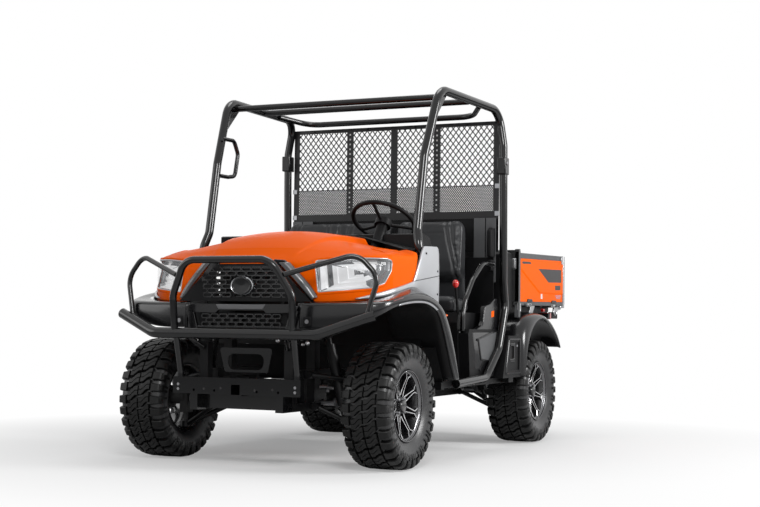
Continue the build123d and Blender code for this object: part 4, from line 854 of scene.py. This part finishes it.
# chin bar with its chamfered ends, and the angled posts beside the lower grille
chinOutline = [(-330, 822), (-318, 790), (-150, 786), (-134, 800), (134, 800), (150, 786), (318, 790), (330, 822),
               (300, 834), (-300, 834)]
frontPlate("chinBar", chinOutline, -368, 22, gloss, 0.006, 3)
frontPlate("chinStep", [(-130, 806), (130, 806), (146, 832), (-146, 832)], -386, 8, trimGray)
frontPlate("lowerFrame", [(-262, 712), (262, 712), (262, 722), (-262, 722)], -366, 16, gloss, 0.003)
chinPlates = [      # name, outline, y, depth, look, bevel, corner radius
    ("chinPost", [(256, 704), (300, 704), (330, 800), (284, 800)], -366, 20, gloss, 0.006, 3),
    ("towPocket", [(352, 724), (398, 724), (398, 772), (352, 772)], -362, 16, panelBlack, 0.005, 6),
    ("chinPanel", [(300, 706), (350, 706), (350, 842), (318, 842)], -358, 10, gloss, 0.004, 0),
]
for side, hand in hands:
    for name, outline, y, depth, look, bevel, radius in chinPlates:
        frontPlate(name + "_" + side, np.array(outline) * (hand, 1), y, depth, look, bevel, radius)
    turned("towBolt_" + side, [(0, 0.0001), (0, 0.011), (-0.02, 0.012)], (hand * 0.375, frontAxle - 0.379, 0.748),
           (0, -1, 0), steel, sides=20, slot="")

print("seats")
seatLook = material("seatVinyl", (0.030, 0.031, 0.033), 0.32, specular=0.25, grain=0.25, grainScale=1400, blotch=0.12,
                    blotchScale=14, slot="vinyl")


def evaluatedMesh(piece):
    graph = bpy.context.evaluated_depsgraph_get()
    return bpy.data.meshes.new_from_object(piece.evaluated_get(graph))


def lineDistance(points, line):
    # distance of each point to a polyline, both in the same plane
    a, b = line[:-1], line[1:]
    ab = b - a
    t = np.clip(np.sum((points[:, None] - a) * ab, -1) / np.sum(ab * ab, -1), 0, 1)
    return np.min(np.linalg.norm(points[:, None] - (a + ab * t[..., None]), axis=-1), axis=1)


def cushion(name, outline, xLow, xHigh, lines, across, cap=0.009, shrink=6):
    # a side outline (y, z) carried across, drawn in towards its ends, blown up as cloth, then sewn
    outline = closedRound(outline, 30, 8)
    middle = outline.mean(0)
    u = np.linspace(-1, 1, 41)
    width = (xHigh - xLow) / 2 - shrink
    x = (xHigh + xLow) / 2 + width * np.sign(u) * (1 - (1 - np.abs(u)) ** 1.6)
    fromEnd = (width - np.abs(x - (xHigh + xLow) / 2)) / 46
    pull = 1 - 0.20 * (1 - np.sqrt(np.clip(1 - (1 - np.clip(fromEnd, 0, 1)) ** 2, 0, 1)))
    ring = middle + (outline - middle)[None] * pull[:, None, None] * (1 - shrink / 60)
    piece = recalc(lofted(name, metres(stack(x[:, None], ring[..., 0], ring[..., 1])), seatLook))
    remesh = piece.modifiers.new("cells", "REMESH")
    remesh.mode, remesh.voxel_size = "VOXEL", 0.008
    piece.data = evaluatedMesh(piece)
    piece.modifiers.clear()
    rest = meshPoints(piece.data)
    cloth = piece.modifiers.new("cloth", "CLOTH")
    cloth.settings.use_pressure = True
    cloth.settings.uniform_pressure_force = 4
    cloth.settings.effector_weights.gravity = 0
    cloth.settings.quality = 4
    cloth.point_cache.frame_start, cloth.point_cache.frame_end = 1, 20
    for frameNow in range(1, 21):
        scene.frame_set(frameNow)
    blown = meshPoints(evaluatedMesh(piece))
    piece.modifiers.clear()
    scene.frame_set(1)
    move = blown - rest
    far = np.linalg.norm(move, axis=1, keepdims=True)
    rest = rest + move * np.minimum(1, cap / np.maximum(far, 1e-9))
    normals = meshPoints(piece.data, "vertices", "normal")
    upright = across == "z"
    flat = rest[:, [0, 2 if upright else 1]]
    shown = normals[:, 1] < -0.2 if upright else normals[:, 2] > 0.3
    for line, grooveWidth, depth in lines:
        line = np.asarray(line, float) / 1000 + ((0, 0) if upright else (0, frontAxle))
        sink = depth / 1000 * np.exp(-(lineDistance(flat, line) / (grooveWidth / 1000)) ** 2)
        rest = rest - normals * (sink * shown)[:, None]
    piece.data.vertices.foreach_set("co", rest.astype("f").reshape(-1))
    piece.data.materials.clear()
    piece.data.materials.append(seatLook)
    piece.data.polygons.foreach_set("use_smooth", np.ones(len(piece.data.polygons), bool))
    finer = piece.modifiers.new("finer", "SUBSURF")
    finer.levels = finer.render_levels = 1
    return piece


seatSpec = {
    "cushion": [(935, 822), (925, 880), (950, 906), (1208, 884), (1240, 813), (940, 813)],
    "back": [(1306, 818), (1300, 985), (1262, 1000), (1216, 1030), (1222, 1130), (1252, 1384), (1276, 1400),
             (1318, 1390), (1330, 1300), (1330, 1060), (1338, 818)],
    "places": {"driver": ((150, 640), (110, 566)), "bench": ((-640, 110), (-640, 100))},
    # sewn channels: (share of the half width, height) on the backs, (share, station) on the cushions
    "backChannels": ([(0.46, 1366), (0.56, 1250), (0.74, 1110), (0.80, 1020)],
                     [(0.62, 1352), (0.70, 1240), (0.84, 1110), (0.80, 1020)]),
    "seatChannel": [(-0.7, 960), (-0.62, 1180), (0.62, 1180), (0.7, 960)],
}
seatPieces = {"seat_backs": [], "seat_cushions": []}
for placeName, ((seatLow, seatHigh), (xLow, xHigh)) in seatSpec["places"].items():
    middleX, reach = (xLow + xHigh) / 2, (xHigh - xLow) / 2
    driver = placeName == "driver"
    half = min(reach, 235) if driver else 185
    backLines, seatLines = [], []
    for centre in [middleX] if driver else [middleX - 185, middleX + 185]:
        backLines += [([(centre + hand * half * w, z) for w, z in channel], 9, 7)
                      for hand in (1, -1) for channel in seatSpec["backChannels"]]
        backLines.append(([(centre - half * 0.44, 1290), (centre + half * 0.44, 1290)], 5, 2))
        seatLines.append(([(centre + half * w, y) for w, y in seatSpec["seatChannel"]], 9, 6))
    if not driver:
        backLines.append(([(middleX, 1385), (middleX, 830)], 8, 9))
        seatLines.append(([(middleX, 930), (middleX, 1240)], 8, 9))
    back = cushion("seatBack_" + placeName, seatSpec["back"], xLow, xHigh, backLines, "z")
    seat = cushion("seatCushion_" + placeName, seatSpec["cushion"], seatLow, seatHigh, seatLines, "y")
    seatPieces["seat_backs"].append(back)
    seatPieces["seat_cushions"].append(seat)
for node, pieces in seatPieces.items():
    for one in pieces:
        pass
    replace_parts(pieces[0], node)

print("cab")
panelGray = material("panelGray", (0.085, 0.087, 0.09), 0.45, grain=0.5, grainScale=900, blotch=0.1, slot="panel_black")


def sideRing(name, outer, width, x, depth, look, hand):
    # a raised border round an outline (y, z) on a side face
    lines = ((outer, 0), (inset(outer, 1.5), depth), (inset(outer, width - 1.5), depth), (inset(outer, width), 0))
    ringSolid(name, [stack(hand * (x + out), ring[:, 0], ring[:, 1]) for ring, out in lines], look)


podOutline = closedRound([(1078, 664), (1396, 716), (1378, 552), (1268, 520), (1126, 534)], 14)
sidePlates = [      # name, outline (y, z), x, depth, look, bevel, corner radius
    ("podWall", [(1040, 690), (1060, 712), (1160, 738), (1180, 760), (1206, 852), (1300, 868), (1370, 900),
                 (1418, 900), (1418, 690)], 694, 31, gloss, 0.007, 12),
    ("podLabel", [(1306, 822), (1352, 828), (1352, 792), (1306, 786)], 725, 0.6, orange, 0, 0),
    ("podPlate", inset(podOutline, 11), 726, 3, panelGray, 0.001, 0),
    ("boxHandle", [(1478, 634), (1556, 634), (1556, 520), (1472, 520), (1470, 538), (1536, 538), (1536, 616),
                   (1478, 616)], 781, 8, gloss, 0.003, 6),
    ("boxMark", [(1600, 610), (1618, 610), (1618, 622), (1600, 622)], 782, 1.2, silver, 0.0004, 0),
    ("cabPost", [(1378, 1150), (1378, 1312), (1400, 1330), (1460, 1330), (1460, 1150)], 664, 30, panelBlack, 0.008, 12),
    # wall beside the cab's rear corner, up to the screen
    ("rearCheek", [(1486, 700), (1486, 1172), (1520, 1196), (1690, 1190), (1716, 1150), (1716, 860), (1690, 826),
                   (1560, 826), (1540, 700)], 668, 46, panelBlack, 0.008, 18),
]
for side, hand in hands:
    plan = rounded([(hand * 560, 926, 0), (hand * 727, 930, 0), (hand * 727, 1418, 0)], 96, 16)[:, :2]
    flank = plan[:, 1] > 1000
    skinRows = []
    for z, inwards in ((706, 40), (710, 14), (704, 3), (690, 0), (560, -1), (440, 3)):
        back = (706 - z) * 0.24 * (1418 - plan[:, 1]) / 492
        skinRows.append(stack(plan[:, 0] - hand * inwards * flank, plan[:, 1] + back + inwards * ~flank, z))
    recalc(solidFrom("podSkin_" + side, metres(np.array(skinRows)), [gridFaces(6, len(plan))], gloss, angle=60))
    for name, outline, x, depth, look, bevel, radius in sidePlates:
        sidePlate(name + "_" + side, outline, hand * x, depth, look, bevel, radius)
    sideRing("podBorder_" + side, podOutline, 13, 727, 5, gloss, hand)
    sideRing("boxBorder_" + side, closedRound([(1392, 445), (1452, 662), (1652, 662), (1652, 445)], 12), 12, 787, 4,
             gloss, hand)
    for k, (y, z) in enumerate(((1066, 655), (1402, 700), (1115, 478))):
        pin("podPin%d_%s" % (k, side), [(0.006, 0.0001), (0.006, 0.005), (0.003, 0.008), (-0.003, 0.008)],
            (hand * 727, y, z), (hand, 0, 0), panelBlack, 16)

ball = np.array([(math.cos(a), math.sin(a)) for a in np.linspace(0.001, math.pi - 0.001, 15)])
knobRed = material("knobRed", (0.6, 0.012, 0.008), 0.3, coat=0.6)
knobOrange = material("knobOrange", (0.8, 0.13, 0.01), 0.35, coat=0.4)
for key, place, stemFoot, knobLook, stemLook, knobSize, stemRadius in (
        ("red", (655, 906, 975), (660, 934, 800), knobRed, panelBlack, (0.024, 0.019), 0.008),
        ("orange", (600, 885, 792), (600, 905, 730), knobOrange, knobOrange, (0.008, 0.017), 0.005)):
    pin("leverKnob_" + key, ball * knobSize, place, (0, -0.2, 1), knobLook, 32, "steel")
    tube("leverStem_" + key, [stemFoot, place], stemRadius, stemLook, sides=12, slot="steel")
matLook = material("floorMat", (0.10, 0.075, 0.055), 0.8, grain=0.8, grainScale=260, blotch=0.3, slot="panel_black")
matX, matY = np.meshgrid(np.linspace(-600, 600, 241), np.linspace(600, 895, 12))
matPoints = metres(stack(matX, matY, 431.5 + 1.6 * np.sign(np.sin(matX / 9.5))))
solidFrom("floorMat", matPoints, [gridFaces(*matX.shape, flip=True)], matLook, angle=30)
for side, hand in hands:
    for k, (x0, x1) in enumerate(((556, 628), (634, 700))):
        frontPlate("wallPanel%d_%s" % (k, side), np.array([(x0, 1000), (x1, 1000), (x1, 1392), (x0, 1392)]) * (hand, 1),
                   1446 - 0.5 * k, 5, panelGray)

print("cage and screen")


def boxBars(name, starts, ends, width, depth, look, slot="tube_black"):
    # straight four-sided bars between two arrays of points, their flat sides facing forwards
    starts, ends = np.asarray(starts, float), np.asarray(ends, float)
    along = unit(ends - starts)
    deep = np.broadcast_to((0.0, 1.0, 0.0), along.shape)
    side = unit(np.cross(along, deep))
    offsets = [side * width / 2 * a + deep * depth / 2 * b for a, b in ((-1, -1), (1, -1), (1, 1), (-1, 1))]
    points = np.stack([np.stack([p + o for o in offsets], 1) for p in (starts, ends)], 1)
    quads = [[0, 1, 5, 4], [1, 2, 6, 5], [2, 3, 7, 6], [3, 0, 4, 7], [0, 3, 2, 1], [4, 5, 6, 7]]
    return recalc(solidFrom(name, metres(points), [copied(quads, len(starts), 8)], look, angle=20, slot=slot))


def crossed(x0, x1, z0, z1, pitchX, pitchZ):
    # both sets of slanting lines over a rectangle, cut at its edges
    slope = pitchZ / pitchX
    feet = np.arange(x0 - (z1 - z0) / slope + pitchX / 2, x1, pitchX)
    low = np.maximum(feet, x0)
    high = np.minimum(feet + (z1 - z0) / slope, x1)
    keep = high - low > 2
    feet, low, high = feet[keep], low[keep], high[keep]
    ends = [stack(x, screenY, z0 + (x - feet) * slope) for x in (low, high)]
    return [np.concatenate([p, p * (-1, 1, 1) + (x0 + x1, 0, 0)]) for p in ends]


def screenBars(name, z0, z1, pitchX, pitchZ, width, depth, look):
    bays = [crossed(x0, x1, z0, z1, pitchX, pitchZ) for x0, x1 in ((-672, -327), (-283, -18), (26, 275), (319, 672))]
    return boxBars(name, np.concatenate([a for a, _ in bays]), np.concatenate([b for _, b in bays]), width, depth, look)


screenY = 1469.5
screenLook = material("screenBlack", (0.010, 0.010, 0.011), 0.4, specular=0.4, grain=0.1, grainScale=900)
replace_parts(screenBars("screenLattice", 1592, 1962, 37, 46, 6.0, 3, screenLook), "rear_screen")
screenBars("screenMesh", 1436, 1592, 13.5, 17, 5.2, 2, panelGray)
frameBars = [(-690, 1405, -690, 1985, 36), (690, 1405, 690, 1985, 36), (-305, 1410, -305, 1970, 44),
             (4, 1410, 4, 1970, 44), (297, 1410, 297, 1970, 44), (-706, 1974, 706, 1974, 24),
             (-706, 1414, 706, 1414, 44), (-672, 1592, 672, 1592, 5)]       # x and z of both ends, width
for k, (x0, z0, x1, z1, width) in enumerate(frameBars):
    y = 1468 - k * 0.05
    boxBars("screenBar%d" % k, [(x0, y, z0)], [(x1, y, z1)], width, 7, screenLook)
frontPlate("screenPanel", [(-706, 1186), (706, 1186), (706, 1400), (-706, 1400)], 1472, 5, panelBlack, 0.002)
holes = np.arange(1450, 1950, 31.0)
for k, x in enumerate((-305, 297)):
    spots = stack(x, 1463.8, holes)
    boxBars("screenHoles%d" % k, spots - (0, 0, 5), spots + (0, 0, 5), 9, 0.6,
            material("holePale%d" % k, (0.7, 0.7, 0.7), 0.8))
for k, x in enumerate((-560, -180, 150, 500)):
    pin("screenBolt%d" % k, [(0, 0.0001), (0, 0.007), (-0.006, 0.008)], (x, 1463, 1974), (0, -1, 0), panelBlack, 6,
        "tube_black")
for side, hand in hands:
    z0, z1 = (1652, 1756) if hand > 0 else (1720, 1818)
    sidePlate("cageBlock_" + side, [(1408, z0), (1476, z0), (1474, z1), (1406, z1)], hand * 714, 56, tubeBlack, 0.006)
    pin("cageBlockBolt_" + side, [(0.006, 0.0001), (0.006, 0.009), (0.004, 0.012), (-0.004, 0.012)],
        (hand * 770, 1436, (z0 + z1) / 2 + 16), (hand, 0, 0), steel)
    gusset = [(590, 2030), (520, 1880), (536, 1862), (720, 2040), (730, 2052)]
    sidePlate("cageGusset_" + side, gusset, hand * 664, 6, tubeBlack, 0.0015)
    for k, z in enumerate((1588, 1420)):
        clip = np.array([(684, z - 14), (712, z - 14), (712, z + 14), (684, z + 14)]) * (hand, 1)
        frontPlate("screenClip%d_%s" % (k, side), clip, 1463, 4, silver, 0.001, slot="steel")
tubePaths = {
    "cageLeg": [(684, 680, 430), (684, 680, 540), (680, 470, 900), (680, 312, 1140), (654, 350, 1250),
                (656, 428, 1660), (678, 578, 2047), (708, 1450, 2047), (744, 1443, 1830), (744, 1447, 1600),
                (742, 1462, 1000), (750, 1474, 850), (750, 1365, 593), (750, 1150, 434), (750, 690, 414)],
    "handRail": [(690, 1421, 1104), (690, 1250, 1106), (690, 1082, 1003), (690, 966, 884), (690, 931, 790),
                 (690, 931, 706)],
    "grabHandle": [(-640, 452, 1811), (-640, 584, 1814), (-640, 632, 1740), (-640, 600, 1604), (-640, 520, 1592),
                   (-640, 424, 1591)],
    "cageCross_front": [(-672, 640, 2012), (672, 640, 2012)],
    "cageCross_middle": [(-678, 1020, 2040), (678, 1020, 2040)],
    "cageCross_rear": [(-676, 1200, 2040), (-560, 1395, 2010), (560, 1395, 2010), (676, 1200, 2040)],
}
for side, hand in hands:
    leg = tube("cageLeg_" + side, np.array(tubePaths["cageLeg"]) * (hand, 1, 1), 0.0245, tubeBlack, 0.13, 28, steps=14)
    rail = tube("handRail_" + side, np.array(tubePaths["handRail"]) * (hand, 1, 1), 0.0145, tubeBlack, 0.16, steps=12)
    railFoot = [(1376, 1070), (1420, 1070), (1420, 1134), (1376, 1134)]
    sidePlate("railFoot_" + side, railFoot, hand * 676, 20, panelBlack, 0.004, 8, "tube_black")
    if hand > 0:
        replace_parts(leg, "roll_cage")
        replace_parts(rail, "hand_rails")
for key in ("front", "middle", "rear"):
    tube("cageCross_" + key, tubePaths["cageCross_" + key], 0.018, tubeBlack, 0.14, 20, (0, 0, 1), 12)
tube("grabHandle", tubePaths["grabHandle"], 0.0125, tubeBlack, 0.04, 16)

print("bed")
railGray = material("railGray", (0.085, 0.087, 0.09), 0.6, grain=1.0, grainScale=330, blotch=0.35, blotchScale=40,
                    slot="bed_steel")
zinc = material("zincPlate", (0.50, 0.50, 0.51), 0.32, metal=0.85, grain=0.2, grainScale=500, slot="steel")
decalBlack = material("decalBlack", (0.014, 0.012, 0.013), 0.4, grain=0.05, slot="orange_paint")
stickerWhite = material("stickerWhite", (0.7, 0.7, 0.7), 0.5, grain=0.05, slot="orange_paint")
gateRed = material("gateRed", (0.50, 0.008, 0.006), 0.25, coat=0.8, grain=0.3, grainScale=1500, slot="orange_paint")
gatePlates = [      # name, outline (y, z), x, depth, look, bevel, slot; these ride the side gate
    ("gateCore", [(1777, 866), (2654, 874), (2654, 1186), (1777, 1166)], 717, 18, railGray, 0.002, "orange_paint"),
    ("gateRail", [(1777, 1160), (2654, 1180), (2654, 1213), (1777, 1195)], 716, 28, railGray, 0.004, None),
    ("gateMark0", [(2129, 1108), (2612, 1119), (2613, 1032), (2338, 1026)], 741.4, 0.5, decalBlack, 0, None),
    ("gateMark1", [(1806, 1143), (1968, 1147), (1984, 1133), (1818, 1129)], 741.4, 0.5, decalBlack, 0, None),
    ("gateMark2", [(2477, 1009), (2590, 1013), (2597, 982), (2481, 978)], 741.4, 0.5, decalBlack, 0, None),
    ("gateMark3", [(2490, 946), (2624, 949), (2604, 922), (2522, 920)], 737.2, 0.5, gateRed, 0, None),
    ("gateMark4", [(2193, 947), (2225, 947), (2225, 915), (2193, 915)], 737.2, 0.5, stickerWhite, 0, None),
    ("hingePad0", [(1926, 908), (2002, 909), (2012, 892), (1916, 891)], 736, 8, decalBlack, 0.002, None),
    ("hingePad1", [(2420, 908), (2496, 909), (2506, 892), (2410, 891)], 736, 8, decalBlack, 0.002, None),
    ("gateStop", [(2606, 1206), (2606, 1160), (2622, 1156), (2640, 1160), (2640, 1206)], 741, 7, zinc, 0.002, None),
]
latchOutline = closedRound([(1716, 1156), (1744, 1160), (1744, 1090), (1716, 1100)], 4)
bedPlates = [       # the same, riding the bed
    ("frontPost", [(1745, 790), (1775, 790), (1775, 1200), (1768, 1218), (1750, 1218), (1745, 1200)], 714, 30,
     railGray, 0.003, None),
    ("rearPost", [(2656, 862), (2682, 862), (2682, 1214), (2656, 1214)], 716, 27, zinc, 0.003, "bed_steel"),
    ("bedSill", [(1745, 868), (2683, 874), (2683, 886), (1745, 884)], 706, 30, railGray, 0.002, None),
    ("bedUnder", [(1748, 792), (2500, 792), (2620, 836), (2620, 872), (1748, 872)], 610, 40, panelBlack, 0.004, None),
    ("hingeArm0", [(2050, 882), (2142, 884), (2112, 850), (2066, 806), (2022, 791), (1990, 806), (2036, 846)], 708, 12,
     zinc, 0.003, None),
    ("hingeArm1", [(2540, 884), (2680, 886), (2680, 852), (2610, 844), (2562, 806), (2522, 828)], 708, 12, zinc,
     0.003, None),
    ("tiePlate", [(1812, 862), (1896, 862), (1896, 832), (1812, 832)], 702, 4, zinc, 0.001, None),
    ("bedLatch", latchOutline, 700, 26, zinc, 0.002, None),
    ("lampBox", [(2506, 788), (2622, 788), (2622, 832), (2506, 832)], 684, 30, panelBlack, 0.004, None),
]
hingeBolts = [(1992, 872, 13), (2012, 806, 11), (2486, 878, 15), (2640, 868, 12), (2552, 824, 10)]      # y, z, radius
gateY, w = np.meshgrid(np.linspace(1779, 2652, 150), np.linspace(0, 1, 100))
gateLow = np.interp(gateY, [1779, 2652], [889, 902])
gateZ = gateLow + (np.interp(gateY, [1779, 2652], [1163, 1183]) - gateLow) * w
crease = np.interp(gateY, [1779, 1843, 2162, 2654], [1101, 1078, 959, 958])
gateX = 741.5 - 4.5 * smooth((crease - gateZ) / 9)
# rear fender: one skin from the inner edge over the crown to the lip round the tyre, as (y, z)
crown = spline([(1666, 430), (1670, 560), (1680, 660), (1722, 742), (1800, 798), (1900, 820), (2000, 824), (2113, 812),
                (2240, 778), (2345, 722), (2410, 660), (2440, 600)], 90)
lip = spline([(1703, 430), (1722, 530), (1756, 630), (1812, 700), (1876, 746), (1946, 774), (2020, 785), (2100, 776),
              (2200, 740), (2290, 690), (2356, 640), (2396, 596)], 90)
rearRows = []
for x, share in ((540, 0), (680, 0), (716, 0.01), (742, 0.05), (764, 0.13), (782, 0.26), (795, 0.44), (803, 0.66),
                 (807, 0.88), (806, 1.0), (797, 1.02)):
    line = crown + (lip - crown) * share
    rearRows.append(stack(float(x), line[:, 0], line[:, 1]))
for side, hand in hands:
    gate = "side_gate_" + side
    skin = recalc(solidFrom("gateSkin_" + side, metres(stack(gateX * hand, gateY, gateZ)), [gridFaces(*gateY.shape)],
                            orange, gate, 60))
    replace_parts(walled(skin, 0.003), gate)
    for plates, rides in ((gatePlates, gate), (bedPlates, "bed")):
        for name, outline, x, depth, look, bevel, slot in plates:
            sidePlate(name + "_" + side, outline, hand * x, depth, look, bevel, 0, slot, rides)
    for k, y in enumerate((1964, 2458)):
        turned("hingeKnuckle%d_%s" % (k, side), [(-0.04, 0.0001), (-0.04, 0.011), (0.04, 0.011), (0.04, 0.0001)],
               metres((hand * 728, y, 874)), (0, 1, 0), zinc, "bed", 20)
    for k, (y, z, r) in enumerate(hingeBolts):
        profile = [(0.010, 0.0001), (0.010, r * 0.0006), (0.006, r * 0.001), (-0.012, r * 0.001)]
        pin("hingeBolt%d_%s" % (k, side), profile, (hand * 724, y, z), (hand, 0, 0), zinc, body="bed")
    hook = np.array([(734, 1750, 880), (734, 1750, 820), (734, 1795, 820), (734, 1795, 880)]) * (hand, 1, 1)
    tube("tieHook_" + side, hook, 0.0055, zinc, 0.02, 12, body="bed")
    pin("sideLamp_" + side, [(0.012, 0.0001), (0.011, 0.006), (0.006, 0.011), (-0.012, 0.012)],
        (hand * 700, 2352, 842), (hand, 0, 0), gateRed, 24, "lamp_red", "bed")
    rearFender = swept("rearFender_" + side, rearRows, gloss, hand, 0.003, 70)
    if hand > 0:
        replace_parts(rearFender, "rear_fenders")
    # a black sheet inside the rear arch at x 540: painted shade, so the view through the opening stays as dark as the
    # shaded wheel well
    shadeWall = np.concatenate([crown[crown[:, 1] > 640], [(2412, 640)]])
    sidePlate("fenderShadeWall_" + side, shadeWall, hand * 540, 4, panelBlack, 0, slot="gloss_black")

print("brush guard and underside")
guardTubes = {      # points, radius, radius of the bends
    "main": ([(-740, -361, 781), (-474, -463, 683), (474, -463, 683), (740, -361, 781)], 0.0275, 0.11),
    "hoop": ([(-342, -467, 690), (-347, -482, 876), (-250, -531, 1054), (250, -531, 1054), (347, -482, 876),
              (342, -467, 690)], 0.0185, 0.10),
}
sideTubes = {
    "loop": ([(312, -506, 978), (633, -338, 1086), (738, -315, 971), (686, -345, 775)], 0.0135, 0.095),
    "leg": ([(341, -402.7, 386), (341, -402.7, 484), (343, -452, 680)], 0.0165, 0.08),
    "stay": ([(252, -341, 610), (300, -452, 684)], 0.014, 0.05),
}
for side, hand in hands:
    for key, (points, radius, bend) in sideTubes.items():
        guardTubes["%s_%s" % (key, side)] = (np.array(points) * (hand, 1, 1), radius, bend)
for key, (points, radius, bend) in guardTubes.items():
    piece = tube("guard_" + key, points, radius, tubeBlack, bend, 28, (0.05, 1, 0.02), 14)
    if key == "main":
        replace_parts(piece, "brush_guard")
for side, hand in hands:
    for k, z in enumerate((420, 396)):
        pin("guardBolt%d_%s" % (k, side), [(0, 0.0001), (0, 0.008), (-0.008, 0.009)], (hand * 341, -428, z), (0, -1, 0),
            steel, 6)


def evenly(outline, count=96):
    # one outline as evenly spaced points, starting from its highest left corner
    start = int(np.argmin(outline[:, 0] - outline[:, 1]))
    ring = np.roll(outline, -start, axis=0)
    ring = np.concatenate([ring, ring[:1]])
    run = runAlong(ring)
    at = np.linspace(0, 1, count, endpoint=False) * run[-1]
    return stack(np.interp(at, run, ring[:, 0]), np.interp(at, run, ring[:, 1]))


# winch bracket behind the plate: a plate with a rounded window
outer = evenly(closedRound([(-150, 610), (160, 610), (136, 486), (-118, 486)], 12))
window = evenly(closedRound([(-106, 580), (118, 580), (104, 498), (-92, 498)], 34))
ringSolid("winchPlate", [stack(ring[:, 0], y, ring[:, 1])
                         for ring, y in ((window, -331), (window, -337), (outer, -337), (outer, -331))], gloss,
          "panel_black")
for k, (x, z, r) in enumerate(((-300, 655, 10), (-300, 632, 8), (186, 650, 9), (290, 668, 10), (322, 660, 8),
                               (356, 640, 9), (330, 632, 7))):
    profile = [(0, 0.0001), (0.001, r * 0.0007), (-0.003, r * 0.001), (-0.016, r * 0.001)]
    pin("frontBolt%d" % k, profile, (x, -338, z), (0, -1, 0), zinc, 20)
for k, x in enumerate((-186, -86, 112, 214)):
    pin("plateHole%d" % k, [(0.0006, 0.0001), (0.0006, 0.0055), (-0.001, 0.006)], (x, -427, 400 + 6 * (k % 2)),
        (0, -1, 0), decalBlack, 16, "tube_black")

# ribbed boots over the drive shafts' joints
bootLook = material("bootRubber", (0.10, 0.10, 0.105), 0.4, grain=0.3, slot="panel_black")
wave = np.linspace(0, 1, 73)
bootShape = stack(wave * 0.10, 0.046 - 0.022 * wave + 0.0055 * np.sin(wave * math.pi * 12))
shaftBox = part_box("drive_shafts")
for side, hand in hands:
    for end, y in (("front", 0), ("rear", 2015)):
        turned("boot_%s_%s" % (end, side), bootShape, metres((hand * 452, y, (shaftBox[0][2] + shaftBox[1][2]) * 500)),
               (-hand, 0, 0), bootLook, sides=36, angle=60)

# Light, floor and camera
lights = [   # name, size, power, place, aim
    ("key", 2.1, 205, (3.5, -6.5, 4.6), (0, -0.5, 0.8)),
    ("side", 2.3, 325, (6.5, 0.5, 3.2), (0, 0, 0.8)),
    ("fill", 4.0, 80, (-6.0, -5.0, 3.0), (0, 0, 0.9)),
    ("over", 3.0, 95, (0.0, 0.5, 6.5), (0, 0, 0.5)),
    ("back", 3.0, 25, (-3.5, 6.0, 3.5), (0, 0, 1.0)),
]
for lightName, lightSize, power, place, aim in lights:
    lamp = bpy.data.lights.new(lightName, "AREA")
    lamp.shape, lamp.size, lamp.energy = "DISK", lightSize, power
    lampObject = bpy.data.objects.new(lightName, lamp)
    scene.collection.objects.link(lampObject)
    lampObject.location = place
    lampObject.rotation_euler = (Vector(aim) - Vector(place)).to_track_quat("-Z", "Y").to_euler()

world = bpy.data.worlds.new("world")
scene.world = world
world.use_nodes = True
add, wire = treeTools(world.node_tree)
sky = world.node_tree.nodes["Background"]
setSockets(sky, {"Color": (0.95, 0.97, 1.0, 1), "Strength": 0.12})
seen = add("Background", {"Color": (1, 1, 1, 1)})     # what the camera, mirrors and glass see behind the object
rays, pick = add("LightPath"), add("MixShader")
bothRays, anyRay = add("Math", operation="MAXIMUM"), add("Math", operation="MAXIMUM")
wire((rays, "Is Camera Ray", bothRays, 0), (rays, "Is Glossy Ray", bothRays, 1), (bothRays, 0, anyRay, 0),
     (rays, "Is Transmission Ray", anyRay, 1), (anyRay, 0, pick, 0), (sky, 0, pick, 1), (seen, 0, pick, 2),
     (pick, 0, world.node_tree.nodes["World Output"], "Surface"))

floorMesh = bpy.data.meshes.new("floor")
floorMesh.from_pydata([(-60, -60, -0.001), (60, -60, -0.001), (60, 60, -0.001), (-60, 60, -0.001)], [], [(0, 1, 2, 3)])
floor = bpy.data.objects.new("floor", floorMesh)
scene.collection.objects.link(floor)
floorLook = material("floorPale", (0.9, 0.9, 0.9), 0.9, specular=0.0)
add, wire = treeTools(floorLook.node_tree)
floorNodes = floorLook.node_tree.nodes
floorPlace, floorRay = add("TexCoord"), add("LightPath")
floorReach = add("VectorMath", operation="LENGTH")      # distance from the object's middle
floorFade = add("MapRange", {"From Min": 1.0, "From Max": 3.4, "To Min": 0.25})
floorShare = add("Math", operation="MULTIPLY")
floorWhite, floorMix = add("Emission"), add("MixShader")
wire((floorPlace, "Object", floorReach, 0), (floorReach, "Value", floorFade, "Value"),
     (floorFade, "Result", floorShare, 0), (floorRay, "Is Camera Ray", floorShare, 1),
     (floorShare, "Value", floorMix, 0), (floorNodes["Principled BSDF"], 0, floorMix, 1), (floorWhite, 0, floorMix, 2),
     (floorMix, 0, floorNodes["Material Output"], "Surface"))
floorMesh.materials.append(floorLook)

yaw, pitch, roll = (math.radians(a) for a in (24.969, 2.787, 0.717))
ahead = Vector((-math.sin(yaw) * math.cos(pitch), math.cos(yaw) * math.cos(pitch), math.sin(pitch)))
right = Vector((math.cos(yaw), math.sin(yaw), 0))
above = right.cross(ahead)
right, above = right * math.cos(roll) + above * math.sin(roll), above * math.cos(roll) - right * math.sin(roll)
eye = bpy.data.cameras.new("camera")
eye.lens, eye.sensor_width, eye.clip_end = 66.64, 36, 200
camera = bpy.data.objects.new("camera", eye)
scene.collection.objects.link(camera)
camera.matrix_world = Matrix([(right[i], above[i], -ahead[i], (3.66, -7.6485, 0.751)[i]) for i in range(3)]
                             + [(0, 0, 0, 1)])
scene.camera = camera
scene.view_settings.view_transform = "Standard"
scene.view_settings.look = "None"
